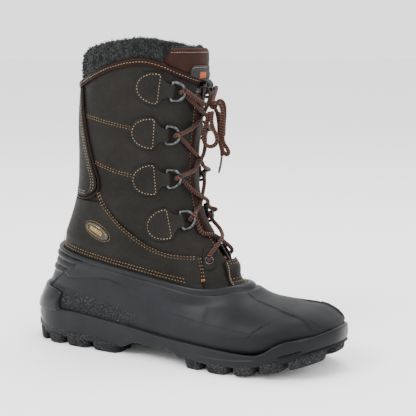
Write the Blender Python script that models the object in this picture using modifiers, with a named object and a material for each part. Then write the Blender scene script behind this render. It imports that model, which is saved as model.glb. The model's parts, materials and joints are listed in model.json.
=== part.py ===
"""Insulated winter boot for the right foot, as separate pieces.

A leather shaft laced through D-rings stands in a moulded rubber shell on a lugged sole, with an
insulated inner boot and a fleece cuff. Frame: +X toe, -Y outer (lateral) side, +Z up, the lugs
on z = 0. Lengths in the tables are millimetres; Blender's are metres.
"""
import math

import bmesh
import bpy
import numpy as np
from mathutils import Matrix, Vector
from mathutils.bvhtree import BVHTree

MM = 0.001
LATERAL = 1
MEDIAL = -1

# The boot's outer form is a row of sections that fan from the top of the shaft, round the heel
# and along the foot to the toe. Each has a front point, a back point, two half widths, the share
# of its depth at which it is widest, the squareness of its front and back, and a shift in Y.
FORM = (
    (22.5, 291, -102, 283, 47.5, 46.5, 0.48, 2.15, 2.3, 0),
    (20, 258, -104, 250, 47, 46, 0.48, 2.15, 2.3, 0),
    (16, 226, -107, 218, 46, 45, 0.47, 2.15, 2.3, 0),
    (12, 190, -107, 182, 45, 44, 0.46, 2.15, 2.3, 0),
    (13, 158, -109, 150, 45, 44, 0.45, 2.1, 2.4, 0),
    (19, 134, -119.5, 118, 45, 44, 0.44, 2.1, 2.5, 0),
    (28, 115, -136, 82, 45, 44, 0.43, 2.0, 2.7, 0),
    (39, 99, -149.5, 48, 44.5, 43.5, 0.42, 2.0, 2.9, 0),
    (50, 87, -153.5, 21, 43.5, 43.5, 0.40, 2.0, 3.1, 0),
    (61, 77, -99, 12.2, 43.5, 44, 0.38, 2.0, 3.4, 0),
    (73, 69, -40, 12.2, 45, 46, 0.36, 2.0, 3.8, 1),
    (85, 63, 20, 12, 50, 51, 0.34, 2.1, 4.0, 2),
    (100, 60, 65, 12.5, 54.5, 55, 0.34, 2.2, 4.2, 3),
    (118, 58, 100, 16, 54, 53, 0.37, 2.4, 4.2, 5),
    (137, 56, 130, 23.5, 45, 44, 0.42, 2.6, 3.8, 7),
    (151, 49, 149, 30, 29, 28, 0.48, 2.5, 3.2, 9),
    (158, 41, 158, 38, 6, 6, 0.50, 2.2, 2.4, 10),
)

# Height of the leather's top edge by the angle round the shaft, 0 at the shin, 180 at the back.
TOP_EDGE = ((0, 258), (19, 262.5), (35, 267.5), (50, 273.5), (66, 277.5), (82, 276), (98, 270.5), (115, 263.5),
            (141, 255.5), (180, 254))
# Height of the fleece cuff's crest by the same angle, round the lateral side first.
CUFF_TOP = ((48, 296), (72, 298.5), (96, 295.5), (120, 291), (144, 286), (180, 286), (216, 287), (240, 291.5),
            (264, 295.5), (288, 291.5), (312, 286))
# Heights along the boot's length: rubber rim, swoosh seam, sole wall, heel clip, toe bumper.
RIM_LINE = ((-160, 101), (-120, 96), (-83, 90), (-26, 80), (24, 70), (47, 69.5), (66, 72), (90, 74))
SWOOSH_LINE = ((-130, 144.5), (-66, 144.5), (-60, 142), (-47, 129), (-31, 117), (-14, 106), (5, 99.5), (40, 98))
WALL_LINE = ((-160, 35), (-101, 35), (-45, 30), (5, 25), (60, 22.5), (100, 21.5), (110, 24), (121, 31), (128, 34.5),
             (137, 36.5), (147, 38.5), (161, 42))
CLIP_LINE = ((-160, 60), (-138, 55.5), (-120, 54), (-112, 50), (-107, 42), (-102, 38), (-95, 35))
BACKSTAY_HALF_ANGLE = ((147, 62), (150, 70), (156, 77), (165, 77), (178, 71), (193, 64), (212, 57), (230, 50), (250, 42))

SHELL_THICKNESS = 2.2
LEATHER_THICKNESS = 1.8
OVERLAY_THICKNESS = 1.4
LINING_THICKNESS = 4.0
LEATHER_OFFSET = -0.4
OVERLAY_OFFSET = 2.0
LINING_OFFSET = -6.5
TONGUE_OFFSET = -4.1
TONGUE_THICKNESS = 1.2
RIM_FLARE = 2.2
FACING_ANGLE = 6
TONGUE_DIP = 3.8
LINING_DIP = 5.5
LACE_BAR = Vector((41, 0, 95))

LACE_RADIUS = 1.9
RING_WIRE = 1.5
RING_HEIGHT = 19.5
RING_DEPTH = 12.0
RING_SWING_OUT = math.radians(9)
BAR_HEIGHT = 3.5
STRAP_THICKNESS = 1.3
# Bar centre along X and up Z and the lean of the bar, for each D-ring from the top.
RINGS = ((5.5, 250, 7), (-0.5, 210, 3), (-1, 169, -4), (10.5, 129.5, -9))
MEDIAL_RING_SETBACK = 5
EYELET_X = 37.5
EYELET_Z = 94
EYELET_HOLE = 2.6

LUG_DEPTH = 8
SLAB_DEPTH = 3.4
SOLE_OUTLINE = (
    (-160, 0), (-151, -28), (-129, -43), (-85, -46.5), (-30, -48), (20, -52.5), (65, -57.5), (105, -55),
    (138, -40), (156, -13), (161, 10), (154, 34), (127, 54), (85, 61), (40, 57.5), (-10, 51),
    (-60, 47), (-110, 45.5), (-147, 30),
)
TOE_INDEX = 10
SPRING_START = 60
SPRING_RISE = 18
GROOVES = (-134, -111, -80, 52.5, 80.5, 104.5, 128)
GROOVE_WIDTH = 5.4
ARCH_START = -44
ARCH_END = 29

KNOT = Vector((32.4, 0, 236.5))
LEFT_LOOP = (
    (31.8, -6.5, 230.5), (30.5, -9, 222), (29.2, -11, 214), (28.6, -12, 207.5), (30, -12, 202.3),
    (33.2, -12, 199.6), (37.2, -12, 199.3), (41, -12, 201.2), (43, -12, 205), (42, -11.5, 209.5),
    (39, -11, 214.5), (36, -9.5, 220.5), (34.6, -7, 227), (34.4, -5.3, 230.8),
)
RIGHT_LOOP = (
    (38, -1.5, 238.6), (41.2, -2, 236), (43, -2, 230), (43.4, -2, 223), (43.2, -2, 215), (42.8, -1.5, 207),
    (43.8, -0.5, 201.5), (46.2, 1, 197), (46.4, 3.5, 193), (43.4, 5.5, 190.6), (39, 6.5, 193),
    (36.4, 6.5, 199), (35.4, 6, 207), (35.6, 5, 216), (36, 4, 224), (36, 2.8, 229.8),
)
NEAR_TAIL = (
    (31, 5.6, 232.8), (31.4, 8.8, 228), (32, 10.6, 220), (32.8, 11.4, 210), (34, 11.8, 200),
    (34.8, 12, 192), (34.6, 12, 188),
)
NEAR_AGLET = ((34.5, 12, 187.6), (33.4, 12, 180), (31.3, 12, 172))
FAR_TAIL = (
    (33.2, 5.6, 239.2), (35.2, 9.5, 239.6), (36.2, 13, 236), (35.8, 15.2, 229), (34.8, 16, 220), (34.3, 16.2, 212),
    (34.2, 16.2, 206.5),
)
FAR_AGLET = ((34.2, 16.2, 206.1), (34, 16, 199), (33.8, 15.8, 192.5))


# ---------------------------------------------------------------- the form

def spline_value(points, place):
    """Height at a place on a smooth line through (place, height) points, level beyond its ends."""
    places = [p[0] for p in points]
    if place <= places[0]:
        return points[0][1]
    if place >= places[-1]:
        return points[-1][1]
    k = max(i for i in range(len(points) - 1) if places[i] <= place)

    def slope(i):
        lo, hi = max(i - 1, 0), min(i + 1, len(points) - 1)
        return (points[hi][1] - points[lo][1]) / (points[hi][0] - points[lo][0])

    run = places[k + 1] - places[k]
    f = (place - places[k]) / run
    a, b = points[k][1], points[k + 1][1]
    return (a * (1 + 2 * f) * (1 - f) ** 2 + b * f * f * (3 - 2 * f)
            + run * f * (1 - f) * (slope(k) * (1 - f) - slope(k + 1) * f))


def smooth_step(value, low, high):
    """0 at low, 1 at high, smooth between; low may be the larger."""
    f = min(max((value - low) / (high - low), 0.0), 1.0)
    return f * f * (3 - 2 * f)


def catmull(p0, p1, p2, p3, f):
    """Point at share f between p1 and p2 of a Catmull-Rom curve."""
    return 0.5 * (2 * p1 + (p2 - p0) * f + (2 * p0 - 5 * p1 + 4 * p2 - p3) * f * f
                  + (3 * p1 - p0 - 3 * p2 + p3) * f ** 3)


def form_section(s):
    """The form's section at s, from 0 at the top of the shaft to 1 at the toe."""
    last = len(FORM) - 1
    place = min(max(s, 0.0), 1.0) * last
    k = min(int(place), last - 1)
    rows = [np.array(FORM[min(max(i, 0), last)], float) for i in range(k - 1, k + 3)]
    if k == 0:
        rows[0] = 2 * rows[1] - rows[2]
    if k == last - 1:
        rows[3] = 2 * rows[2] - rows[1]
    return catmull(*rows, place - k)


def form_point(s, angle):
    """Point of the form in mm. Angle 0 is the front, 180 the back, positive on the lateral side."""
    fx, fz, bx, bz, lateral, medial, widest, front_power, back_power, shift = form_section(s)
    c = math.cos(math.radians(angle))
    si = math.sin(math.radians(angle))
    power = 2 / (front_power if c >= 0 else back_power)
    reach = abs(c) ** power
    t = widest + (1 - widest) * reach if c >= 0 else widest - widest * reach
    width = lateral if si >= 0 else medial
    y = shift - math.copysign(width * abs(si) ** power, si)
    return Vector((bx + (fx - bx) * t, y, bz + (fz - bz) * t))


def form_normal(s, angle):
    """Outward normal of the form."""
    step = 0.004
    along = form_point(min(s + step, 1), angle) - form_point(max(s - step, 0), angle)
    around = form_point(s, angle + 1.5) - form_point(s, angle - 1.5)
    return around.cross(along).normalized()


def skin_point(s, angle, offset):
    """Point at an offset out from the form, in mm."""
    return form_point(s, angle) + offset * form_normal(s, angle)


def travel_table():
    """Places along the form and how far its front and back have come there, on average."""
    places = np.linspace(0, 1, 400)
    sections = np.array([form_section(s) for s in places])
    steps = np.diff(sections, axis=0)
    front = np.hypot(steps[:, 0], steps[:, 1])
    back = np.hypot(steps[:, 2], steps[:, 3])
    return places, np.concatenate([[0], np.cumsum((front + back) / 2)])


def slide(start, end, share):
    """Place at a share of the way along the form's surface from one place to another."""
    places, travelled = FORM_TRAVEL
    first, last = np.interp([start, end], places, travelled)
    return float(np.interp(first + (last - first) * share, travelled, places))


FORM_TRAVEL = travel_table()


def find_s(angle, line, low=0.0, high=1.0):
    """Where the form, going down at an angle, crosses a line of height against x."""
    for _ in range(40):
        middle = (low + high) / 2
        point = form_point(middle, angle)
        if point.z > line(point.x):
            low = middle
        else:
            high = middle
    return (low + high) / 2


def rim_height(x):
    return spline_value(RIM_LINE, x)


def top_height(angle):
    return spline_value(TOP_EDGE, abs((angle + 180) % 360 - 180))


def top_s(angle, below=0.0):
    """Place of the leather's top edge at an angle, or of a line some mm below it."""
    height = top_height(angle) - below
    return find_s(angle, lambda x: height)


def rim_s(angle, below=0.0):
    """Place of the rubber's rim at an angle, or of a line some mm below it."""
    return find_s(angle, lambda x: rim_height(x) - below, 0.1, 0.75)


def tuck(point):
    """The leather and the trim on it pull in where they enter the rubber."""
    return -3.0 * smooth_step(point.z - rim_height(point.x), 16, 3)


def dip(point, depth):
    """Tongue and lining lie lower under the lace's first run."""
    gap = point - LACE_BAR
    across = 1 - smooth_step(abs(gap.y), 20, 30)
    return -depth * across * math.exp(-((gap.z / 11) ** 2)) * smooth_step(point.x, 10, 25)


def form_tree():
    """A ray-castable copy of the form."""
    rows, columns = 160, 128
    points = [form_point(i / rows, 360 * j / columns) for i in range(rows + 1) for j in range(columns)]
    faces = []
    for i in range(rows):
        for j in range(columns):
            k = (j + 1) % columns
            faces.append((i * columns + j, i * columns + k, (i + 1) * columns + k, (i + 1) * columns + j))
    return BVHTree.FromPolygons(points, faces)


# ---------------------------------------------------------------- making objects

def clear_scene():
    for item in list(bpy.data.objects):
        bpy.data.objects.remove(item, do_unlink=True)


def collection(name):
    group = bpy.data.collections.new(name)
    bpy.context.scene.collection.children.link(group)
    return group


def material(name, colour, roughness, metallic=0.0):
    made = bpy.data.materials.new(name)
    made.use_nodes = True
    shader = made.node_tree.nodes["Principled BSDF"]
    shader.inputs["Base Color"].default_value = (*colour, 1)
    shader.inputs["Roughness"].default_value = roughness
    shader.inputs["Metallic"].default_value = metallic
    made.diffuse_color = (*colour, 1)
    return made


def finish(name, mesh, look, group):
    """Put a mesh given in mm into the scene as a named part."""
    mesh.transform(Matrix.Scale(MM, 4))
    mesh.materials.append(look)
    part = bpy.data.objects.new(name, mesh)
    group.objects.link(part)
    return part


def grid_mesh(name, rows, closed=False):
    """Mesh of a grid of points. Rows run down the boot, columns by growing angle."""
    count = len(rows[0])
    faces = []
    for i in range(len(rows) - 1):
        for j in range(count if closed else count - 1):
            k = (j + 1) % count
            faces.append((i * count + j, i * count + k, (i + 1) * count + k, (i + 1) * count + j))
    mesh = bpy.data.meshes.new(name)
    mesh.from_pydata([p for row in rows for p in row], [], faces)
    return mesh


def solidify(part, thickness, offset=-1):
    modifier = part.modifiers.new("thickness", "SOLIDIFY")
    modifier.thickness = thickness * MM
    modifier.offset = offset
    modifier.use_even_offset = True
    return part


def panel(name, rows, thickness, look, group, closed=False):
    """A sheet of even thickness whose outer face is the grid."""
    return solidify(finish(name, grid_mesh(name, rows, closed), look, group), thickness)


def column_rows(angles, top, bottom, shares, offset):
    """Grid between two places at each angle; offset is a function of the form's point."""
    rows = []
    limits = [(top(a), bottom(a)) for a in angles]
    for share in shares:
        row = []
        for angle, (start, end) in zip(angles, limits):
            s = slide(start, end, share)
            row.append(skin_point(s, angle, offset(form_point(s, angle))))
        rows.append(row)
    return rows


def spread(first, last, steps):
    return [first + (last - first) * i / steps for i in range(steps + 1)]


def ring_loft(name, sections, look, group, closed=False):
    """Loft closed sections, each a list of points, into one body."""
    mesh = grid_mesh(name, sections, closed=True)
    work = bmesh.new()
    work.from_mesh(mesh)
    count = len(sections[0])
    work.verts.ensure_lookup_table()
    ends = (work.verts[:count], work.verts[-count:])
    if closed:
        for j in range(count):
            k = (j + 1) % count
            work.faces.new((ends[1][j], ends[1][k], ends[0][k], ends[0][j]))
    else:
        work.faces.new(ends[0])
        work.faces.new(ends[1])
    bmesh.ops.recalc_face_normals(work, faces=work.faces)
    work.to_mesh(mesh)
    work.free()
    return finish(name, mesh, look, group)


def edge_sweep(name, angles, outline, look, group):
    """Sweep an outline along the top edge. It gives (offset, height) corners for an angle."""
    sections = []
    for angle in angles:
        s = top_s(angle)
        base = form_point(s, angle)
        out = form_normal(s, angle)
        up = (form_point(max(s - 0.01, 0), angle) - form_point(s + 0.01, angle)).normalized()
        sections.append([base + out * offset + up * height for offset, height in outline(angle)])
    return ring_loft(name, sections, look, group)


def tube(name, points, radius, look, group, cyclic=False, resolution=2):
    """A round wire or cord along points in mm, as a curve with a bevel."""
    curve = bpy.data.curves.new(name, "CURVE")
    curve.dimensions = "3D"
    curve.bevel_depth = radius * MM
    curve.bevel_resolution = resolution
    curve.use_fill_caps = not cyclic
    spline = curve.splines.new("POLY")
    spline.points.add(len(points) - 1)
    for slot, point in zip(spline.points, points):
        slot.co = (*(Vector(point) * MM), 1)
    spline.use_cyclic_u = cyclic
    curve.materials.append(look)
    part = bpy.data.objects.new(name, curve)
    group.objects.link(part)
    return part


def smooth_route(points, spacing):
    """Points at an even spacing along a smooth curve through a route."""
    points = [Vector(p) for p in points]
    dense = []
    for k in range(len(points) - 1):
        before = points[k - 1] if k else 2 * points[0] - points[1]
        after = points[k + 2] if k + 2 < len(points) else 2 * points[-1] - points[-2]
        dense += [catmull(before, points[k], points[k + 1], after, i / 12) for i in range(12)]
    dense.append(points[-1])
    travelled = [0.0]
    for a, b in zip(dense, dense[1:]):
        travelled.append(travelled[-1] + (b - a).length)
    count = max(2, round(travelled[-1] / spacing))
    route = []
    for i in range(count + 1):
        goal = travelled[-1] * i / count
        k = min(np.searchsorted(travelled, goal, "right") - 1, len(dense) - 2)
        share = (goal - travelled[k]) / (travelled[k + 1] - travelled[k])
        route.append(dense[k].lerp(dense[k + 1], share))
    return route


def eased_route(points, longest):
    """The route's own points, with points of a smooth curve between those that lie far apart."""
    points = [Vector(p) for p in points]
    route = []
    for k in range(len(points) - 1):
        before = points[k - 1] if k else 2 * points[0] - points[1]
        after = points[k + 2] if k + 2 < len(points) else 2 * points[-1] - points[-2]
        pieces = math.ceil((points[k + 1] - points[k]).length / longest)
        route += [catmull(before, points[k], points[k + 1], after, i / pieces) for i in range(pieces)]
    return route + [points[-1]]


def cut(part, cutter):
    modifier = part.modifiers.new("cut", "BOOLEAN")
    modifier.operation = "DIFFERENCE"
    modifier.object = cutter


def hide_cutter(cutter):
    cutter.hide_render = True
    cutter.display_type = "WIRE"
    return cutter


# ---------------------------------------------------------------- sole

def sole_edge(side):
    """The sole outline's points from heel to toe along one side."""
    count = len(SOLE_OUTLINE)
    points = [Vector(p) for p in SOLE_OUTLINE]
    dense = []
    for k in range(count):
        around = [points[(k + d) % count] for d in (-1, 0, 1, 2)]
        dense += [catmull(*around, i / 8) for i in range(8)]
    toe = TOE_INDEX * 8
    return dense[:toe + 1] if side == LATERAL else [dense[0]] + dense[:toe - 1:-1]


def half_width(x, side):
    """Distance from y = 0 to the sole's edge."""
    edge = sorted((p.x, p.y) for p in sole_edge(side))
    return float(np.interp(x, [p[0] for p in edge], [p[1] for p in edge]))


def spring(x):
    """Rise of the sole towards the toe."""
    share = max(x - SPRING_START, 0) / (SOLE_OUTLINE[TOE_INDEX][0] - SPRING_START)
    return SPRING_RISE * share ** 2


def end_spaced(first, last, count):
    """Places from first to last, closer together at both ends."""
    return [first + (last - first) * (1 - math.cos(math.pi * i / count)) / 2 for i in range(count + 1)]


def shell_clearance(tree, edge, inward, wall):
    """Top of the sole wall's inner face, clear of the shell's widest place inside the wall."""
    reach = []
    for share in (0, 0.25, 0.5, 0.75, 1):
        low = spring(edge.x) + LUG_DEPTH + SLAB_DEPTH + 1
        start = edge - inward * 30 + Vector((0, 0, low + (wall - low) * share))
        hit = tree.ray_cast(start, inward)[0]
        if hit:
            reach.append((hit - start).length)
    return edge + inward * (min(reach) - 30.8) + Vector((0, 0, wall))


def outsole(tree, look, group, cutters):
    """Cupped sole: lugs below, a slab, and a wall round the foot of the shell."""
    places = end_spaced(-160, 161, 26)
    loop = [(x, LATERAL) for x in places] + [(x, MEDIAL) for x in places[-2:0:-1]]
    foot, skirt, brim, lip, floor = [], [], [], [], []
    for x, side in loop:
        edge = Vector((x, half_width(x, side), 0))
        wall = spline_value(WALL_LINE, x)
        centre = Vector((min(max(x, -110), 100), 3 if x > 60 else 0, 0))
        inward = (centre - edge).normalized()
        inner = shell_clearance(tree, edge, inward, wall)
        foot.append(edge + inward * 4 + Vector((0, 0, spring(x))))
        skirt.append(edge + inward * 0.5 + Vector((0, 0, spring(x) + LUG_DEPTH)))
        brim.append(Vector((edge.x, edge.y, wall - 1)))
        lip.append(inner)
        floor.append(Vector((inner.x, inner.y, spring(inner.x) + LUG_DEPTH + SLAB_DEPTH)))
    loops = [floor, lip, brim, skirt, foot]
    mesh = grid_mesh("outsole", loops, closed=True)
    work = bmesh.new()
    work.from_mesh(mesh)
    work.verts.ensure_lookup_table()
    count = len(loop)
    for start in (0, count * (len(loops) - 1)):
        ring = work.verts[start:start + count]
        for i in range(len(places) - 1):
            corners = [ring[i], ring[i + 1], ring[-i - 1 if i + 1 < len(places) - 1 else i + 1], ring[-i]]
            unique = list(dict.fromkeys(corners))
            work.faces.new(unique)
    bmesh.ops.recalc_face_normals(work, faces=work.faces)
    work.to_mesh(mesh)
    work.free()
    part = finish("outsole", mesh, look, group)
    cut(part, groove_cutter(cutters))
    return part


def groove_cutter(group):
    """Gaps between the lugs, and the arch between heel and forefoot, as one cutter."""
    work = bmesh.new()
    for x in GROOVES:
        top = spring(x) + LUG_DEPTH - 1.1
        for side in (-1, 1):
            size = Vector((GROOVE_WIDTH, 56, top + 10))
            place = Vector((x, side * (13.3 + size.y / 2), top - size.z / 2))
            bmesh.ops.create_cube(work, matrix=Matrix.LocRotScale(place, None, size))
    top = LUG_DEPTH + 1.5
    length = ARCH_END - ARCH_START
    middle = (ARCH_START + ARCH_END) / 2
    size = Vector((length, 140, top + 10))
    bmesh.ops.create_cube(work, matrix=Matrix.LocRotScale(Vector((middle, 0, top - size.z / 2)), None, size))
    mesh = bpy.data.meshes.new("lug_gaps")
    work.to_mesh(mesh)
    work.free()
    mesh.transform(Matrix.Scale(MM, 4))
    cutter = bpy.data.objects.new("lug_gaps", mesh)
    group.objects.link(cutter)
    return hide_cutter(cutter)


def plank(name, first, last, inset, low, high, look, group):
    """A layer with the sole's outline, drawn in by an inset, that follows the toe's rise."""
    sections = []
    for x in end_spaced(first, last, 14):
        edge = [half_width(x, LATERAL) + inset, half_width(x, MEDIAL) - inset]
        rise = spring(x)
        sections.append([
            Vector((x, edge[0], rise + low)), Vector((x, edge[0], rise + high)),
            Vector((x, edge[1], rise + high)), Vector((x, edge[1], rise + low)),
        ])
    return ring_loft(name, sections, look, group)


def wall_band(name, angles, low, high, look, group):
    """A moulded band that stands on the sole's wall against the shell."""
    rows = column_rows(angles, lambda a: find_s(a, high), lambda a: find_s(a, low), spread(0, 1, 3),
                       lambda p: 3.0)
    return panel(name, rows, 2.3, look, group)


# ---------------------------------------------------------------- shell and shaft

def rubber_shell(look, group):
    """Moulded lower, from the rim over the leather to the toe."""
    angles = spread(0, 345, 23)

    def offset(point):
        return RIM_FLARE * smooth_step(rim_height(point.x) - point.z, 16, 5)

    limits = [rim_s(a) for a in angles]
    shares = [0, 0.025, 0.05, 0.09] + spread(0.15, 1.0, 11)
    rows = []
    for share in shares:
        row = []
        for angle, start in zip(angles, limits):
            s = slide(start, 0.975, share)
            point = form_point(s, angle)
            row.append(skin_point(s, angle, offset(point) if s < 0.8 else 0))
        rows.append(row)
    mesh = grid_mesh("rubber_shell", rows, closed=True)
    work = bmesh.new()
    work.from_mesh(mesh)
    work.verts.ensure_lookup_table()
    work.faces.new(work.verts[-len(angles):][::-1])
    bmesh.ops.recalc_face_normals(work, faces=work.faces)
    work.to_mesh(mesh)
    work.free()
    return solidify(finish("rubber_shell", mesh, look, group), SHELL_THICKNESS)


def lining(look, group):
    """Insulated inner boot, a closed sock open at the top."""
    angles = spread(0, 342, 19)
    rows = column_rows(angles, lambda a: top_s(a, 1.0), lambda a: 0.93, spread(0, 1, 15),
                       lambda p: LINING_OFFSET + dip(p, LINING_DIP))
    mesh = grid_mesh("lining", rows, closed=True)
    work = bmesh.new()
    work.from_mesh(mesh)
    work.verts.ensure_lookup_table()
    work.faces.new(work.verts[-len(angles):][::-1])
    bmesh.ops.recalc_face_normals(work, faces=work.faces)
    work.to_mesh(mesh)
    work.free()
    return solidify(finish("lining", mesh, look, group), LINING_THICKNESS)


def side_angles(side, first, last, steps):
    """Angles in growing order on one side, given from front to back."""
    return spread(first, last, steps) if side == LATERAL else spread(-last, -first, steps)


def shaft_panel(name, side, look, group):
    """Leather from the facing edge to the back seam and from the top edge into the rubber."""
    shares = spread(0, 0.85, 7) + [0.9, 0.95, 1.0]
    rows = column_rows(side_angles(side, FACING_ANGLE, 179.2, 17), lambda a: top_s(a, 1.2), lambda a: rim_s(a, 2),
                       shares, lambda p: LEATHER_OFFSET + 1.15 * tuck(p))
    return panel(name, rows, LEATHER_THICKNESS, look, group)


def lower_quarter(name, side, look, group):
    """Leather overlay under the swoosh seam, from the back seam to the stitch before the eyelet."""
    columns = 14
    rows = []
    for u in (0, 0.25, 0.5, 0.7, 0.85, 1):
        front = 27 + 13 * u
        row = []
        for angle in side_angles(side, front, 179.2, columns):
            start = find_s(angle, lambda x: spline_value(SWOOSH_LINE, x))
            s = start + (rim_s(angle, 2.5) - start) * u
            row.append(skin_point(s, angle, OVERLAY_OFFSET + tuck(form_point(s, angle))))
        rows.append(row)
    return panel(name, rows, OVERLAY_THICKNESS, look, group)


def backstay(look, group):
    """Strip up the back of the shaft, wider and rounded at its foot."""
    rows = []
    for z in (248, 229, 208, 188, 170, 158, 152, 148.5):
        half = spline_value(BACKSTAY_HALF_ANGLE, z)
        row = []
        for angle in spread(180 - half, 180 + half, 16):
            s = find_s(angle, lambda x: z)
            row.append(skin_point(s, angle, OVERLAY_OFFSET))
        rows.append(row)
    return panel("backstay", rows, OVERLAY_THICKNESS, look, group)


def backstay_piping(look, group):
    """Thin piping down both edges of the backstay and along its foot."""
    route = []
    for side in (1, -1):
        run = []
        for z, clear in ((248, 2.6), (230, 2.6), (212, 2.6), (194, 2.6), (178, 2.6), (165, 2.6), (157, 2.9),
                         (152, 4.2), (148.6, 6.5)):
            angle = 180 - side * (spline_value(BACKSTAY_HALF_ANGLE, z) + clear)
            run.append(skin_point(find_s(angle, lambda x: z), angle, 1.3))
        for degrees in (60, 40, 20) if side == 1 else (60, 40, 20, 0):
            angle = 180 - side * degrees
            run.append(skin_point(find_s(angle, lambda x: 146.3), angle, 1.3))
        route += run if side == 1 else run[::-1]
    return tube("backstay_piping", smooth_route(route, 10), 0.8, look, group, resolution=1)


def top_binding(look, group):
    """Folded strip over the leather's top edge, from facing to facing."""
    corners = ((1.3, -4.5), (1.3, 1.8), (-3.8, 1.8), (-3.8, -4.5), (-2.7, -4.5), (-2.7, 0.8), (0.2, 0.8),
               (0.2, -4.5))
    return edge_sweep("top_binding", spread(FACING_ANGLE, 360 - FACING_ANGLE, 34), lambda a: corners, look, group)


def fleece_cuff(look, group):
    """Pile cuff that stands above the binding, up to the tongue's sides."""
    def corners(angle):
        rise = spline_value(CUFF_TOP, angle) - top_height(angle)
        return ((-1.5, 2.4), (-0.5, 0.45 * rise), (-2, rise - 3.5), (-5, rise), (-8.5, rise - 3.5), (-9.8, 2.4))
    return edge_sweep("fleece_cuff", spread(48, 312, 26), corners, look, group)


def vamp(look, group):
    """Leather piece over the instep between the facings, down into the rubber."""
    steps = 4
    rows = []
    for i in range(steps + 1):
        row = []
        for angle in spread(-11 - 2 * i, 11 + 2 * i, 5):
            start = find_s(angle, lambda x: 89)
            s = start + (rim_s(angle, 2.5) - start) * i / steps
            row.append(skin_point(s, angle, OVERLAY_OFFSET + tuck(form_point(s, angle))))
        rows.append(row)
    return panel("vamp", rows, OVERLAY_THICKNESS, look, group)


# ---------------------------------------------------------------- tongue

def tongue(look, group):
    """Tongue behind the lacing."""
    rows = column_rows(spread(-28, 28, 6), lambda a: top_s(a, -1.0), lambda a: find_s(a, lambda x: 80),
                       spread(0, 1, 12), lambda p: TONGUE_OFFSET + dip(p, TONGUE_DIP))
    return panel("tongue", rows, TONGUE_THICKNESS, look, group)


def pad_top(angle):
    return 288 - top_height(angle)


def tongue_pad(look, group):
    """Padded leather head of the tongue, above the binding."""
    def corners(angle):
        top = pad_top(angle)
        return ((-1.5, 2.3), (-0.4, 7), (-0.8, top - 5), (-2.5, top - 1), (-4.5, top), (-6.8, top - 2), (-6.8, 2.3))
    return edge_sweep("tongue_pad", spread(-45, 45, 12), corners, look, group)


def tongue_fleece(look, group):
    """Pile lining on the inner face of the tongue's head."""
    def corners(angle):
        top = pad_top(angle) + 2
        return ((-7.4, 2.3), (-7.4, top - 2), (-9, top), (-11.5, top - 1), (-12.5, top - 6), (-12, 2.3))
    return edge_sweep("tongue_fleece", spread(-43, 43, 10), corners, look, group)


def tongue_patch(look, group):
    """Woven patch on the tongue's head."""
    def corners(angle):
        top = 272.5 - top_height(angle)
        return ((0.1, 2.7), (1.0, 2.7), (1.0, top), (0.1, top))
    return edge_sweep("tongue_patch", spread(-19, 19, 6), corners, look, group)


def tongue_label(look, group):
    """Woven label on the tongue just above the knot."""
    rows = column_rows(spread(-7.5, 7.5, 3), lambda a: find_s(a, lambda x: 251), lambda a: find_s(a, lambda x: 240),
                       spread(0, 1, 3), lambda p: TONGUE_OFFSET + 1.2)
    return panel("tongue_label", rows, 0.8, look, group)


def pull_tab(look, group):
    """Folded webbing loop that sticks out at the top of the tongue."""
    rows = []
    for x, z in ((21.4, 259), (25.5, 258.6), (29, 256.4), (29.6, 253.8), (26.5, 252.2), (17.8, 252.2)):
        rows.append([Vector((x, y, z)) for y in (-4.2, 4.2)])
    part = finish("pull_tab", grid_mesh("pull_tab", rows), look, group)
    return solidify(part, 1.2, offset=0)


# ---------------------------------------------------------------- lacing hardware

def surface_frame(tree, x, z, side, lean=0.0):
    """Axes on the form at a place on one side: forward, up along the bar, and out."""
    start = Vector((x, -side * 120, z))
    spot, out = tree.ray_cast(start, Vector((0, side, 0)))[:2]
    if out.y * side > 0:
        out = -out
    up = (Vector((0, 0, 1)) - out * out.z).normalized()
    forward = up.cross(out).normalized()
    if forward.x < 0:
        forward = -forward
    tilt = math.radians(lean)
    up, forward = up * math.cos(tilt) + forward * math.sin(tilt), forward * math.cos(tilt) - up * math.sin(tilt)
    return spot, forward, up, out


def drape(tree, point, out, offset):
    """Point of the form under a place, moved out by an offset."""
    spot, normal = tree.ray_cast(point + out * 40, -out)[:2]
    if normal.dot(out) < 0:
        normal = -normal
    return spot + normal * offset


def ring_tab(name, tree, frame, look, group):
    """D-shaped leather disc whose neck folds round the ring's bar and back under itself."""
    spot, forward, up, out = frame
    half = STRAP_THICKNESS / 2
    flat = 0.5 + half
    path = [(-22.5, flat, 3.5), (-21.0, flat, 8), (-17, flat, 12.2), (-11.5, flat, 13.8), (-7.8, flat + 0.4, 12.8),
            (-6.2, flat + 1.5, 8.2), (-4.2, flat + 3.2, 6.2)]
    eye = BAR_HEIGHT - flat
    path += [(eye * math.sin(a), BAR_HEIGHT + eye * math.cos(a), 5.8)
             for a in (math.radians(d) for d in (-38, 0, 40, 80, 120, 155))]
    path += [(-0.6, flat, 5.8), (-3.6, flat, 5.8)]
    rows = []
    for along, height, reach in path:
        row = []
        for share in (-1, 0, 1):
            place = spot + forward * along + up * reach * share
            rigid = place + out * height
            soft = drape(tree, place, out, height)
            row.append(rigid.lerp(soft, smooth_step(along, -3, -8)))
        rows.append(row)
    part = finish(name, grid_mesh(name, rows), look, group)
    return solidify(part, STRAP_THICKNESS, offset=0)


def ring_outline():
    """Centre line of a D-ring in its own plane: Y up the bar, X towards the rounded tip."""
    half = RING_HEIGHT / 2 - RING_WIRE
    points = [(0, -half + 2.2), (0, half - 2.2), (0.7, half - 0.6), (2.2, half)]
    tip = 8.4
    centre = RING_DEPTH - tip
    points += [(centre + tip * math.cos(a), tip * math.sin(a))
               for a in (math.radians(d) for d in (62, 40, 20, 0, -20, -40, -62))]
    points += [(2.2, -half), (0.7, -half + 0.6)]
    return points


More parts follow.
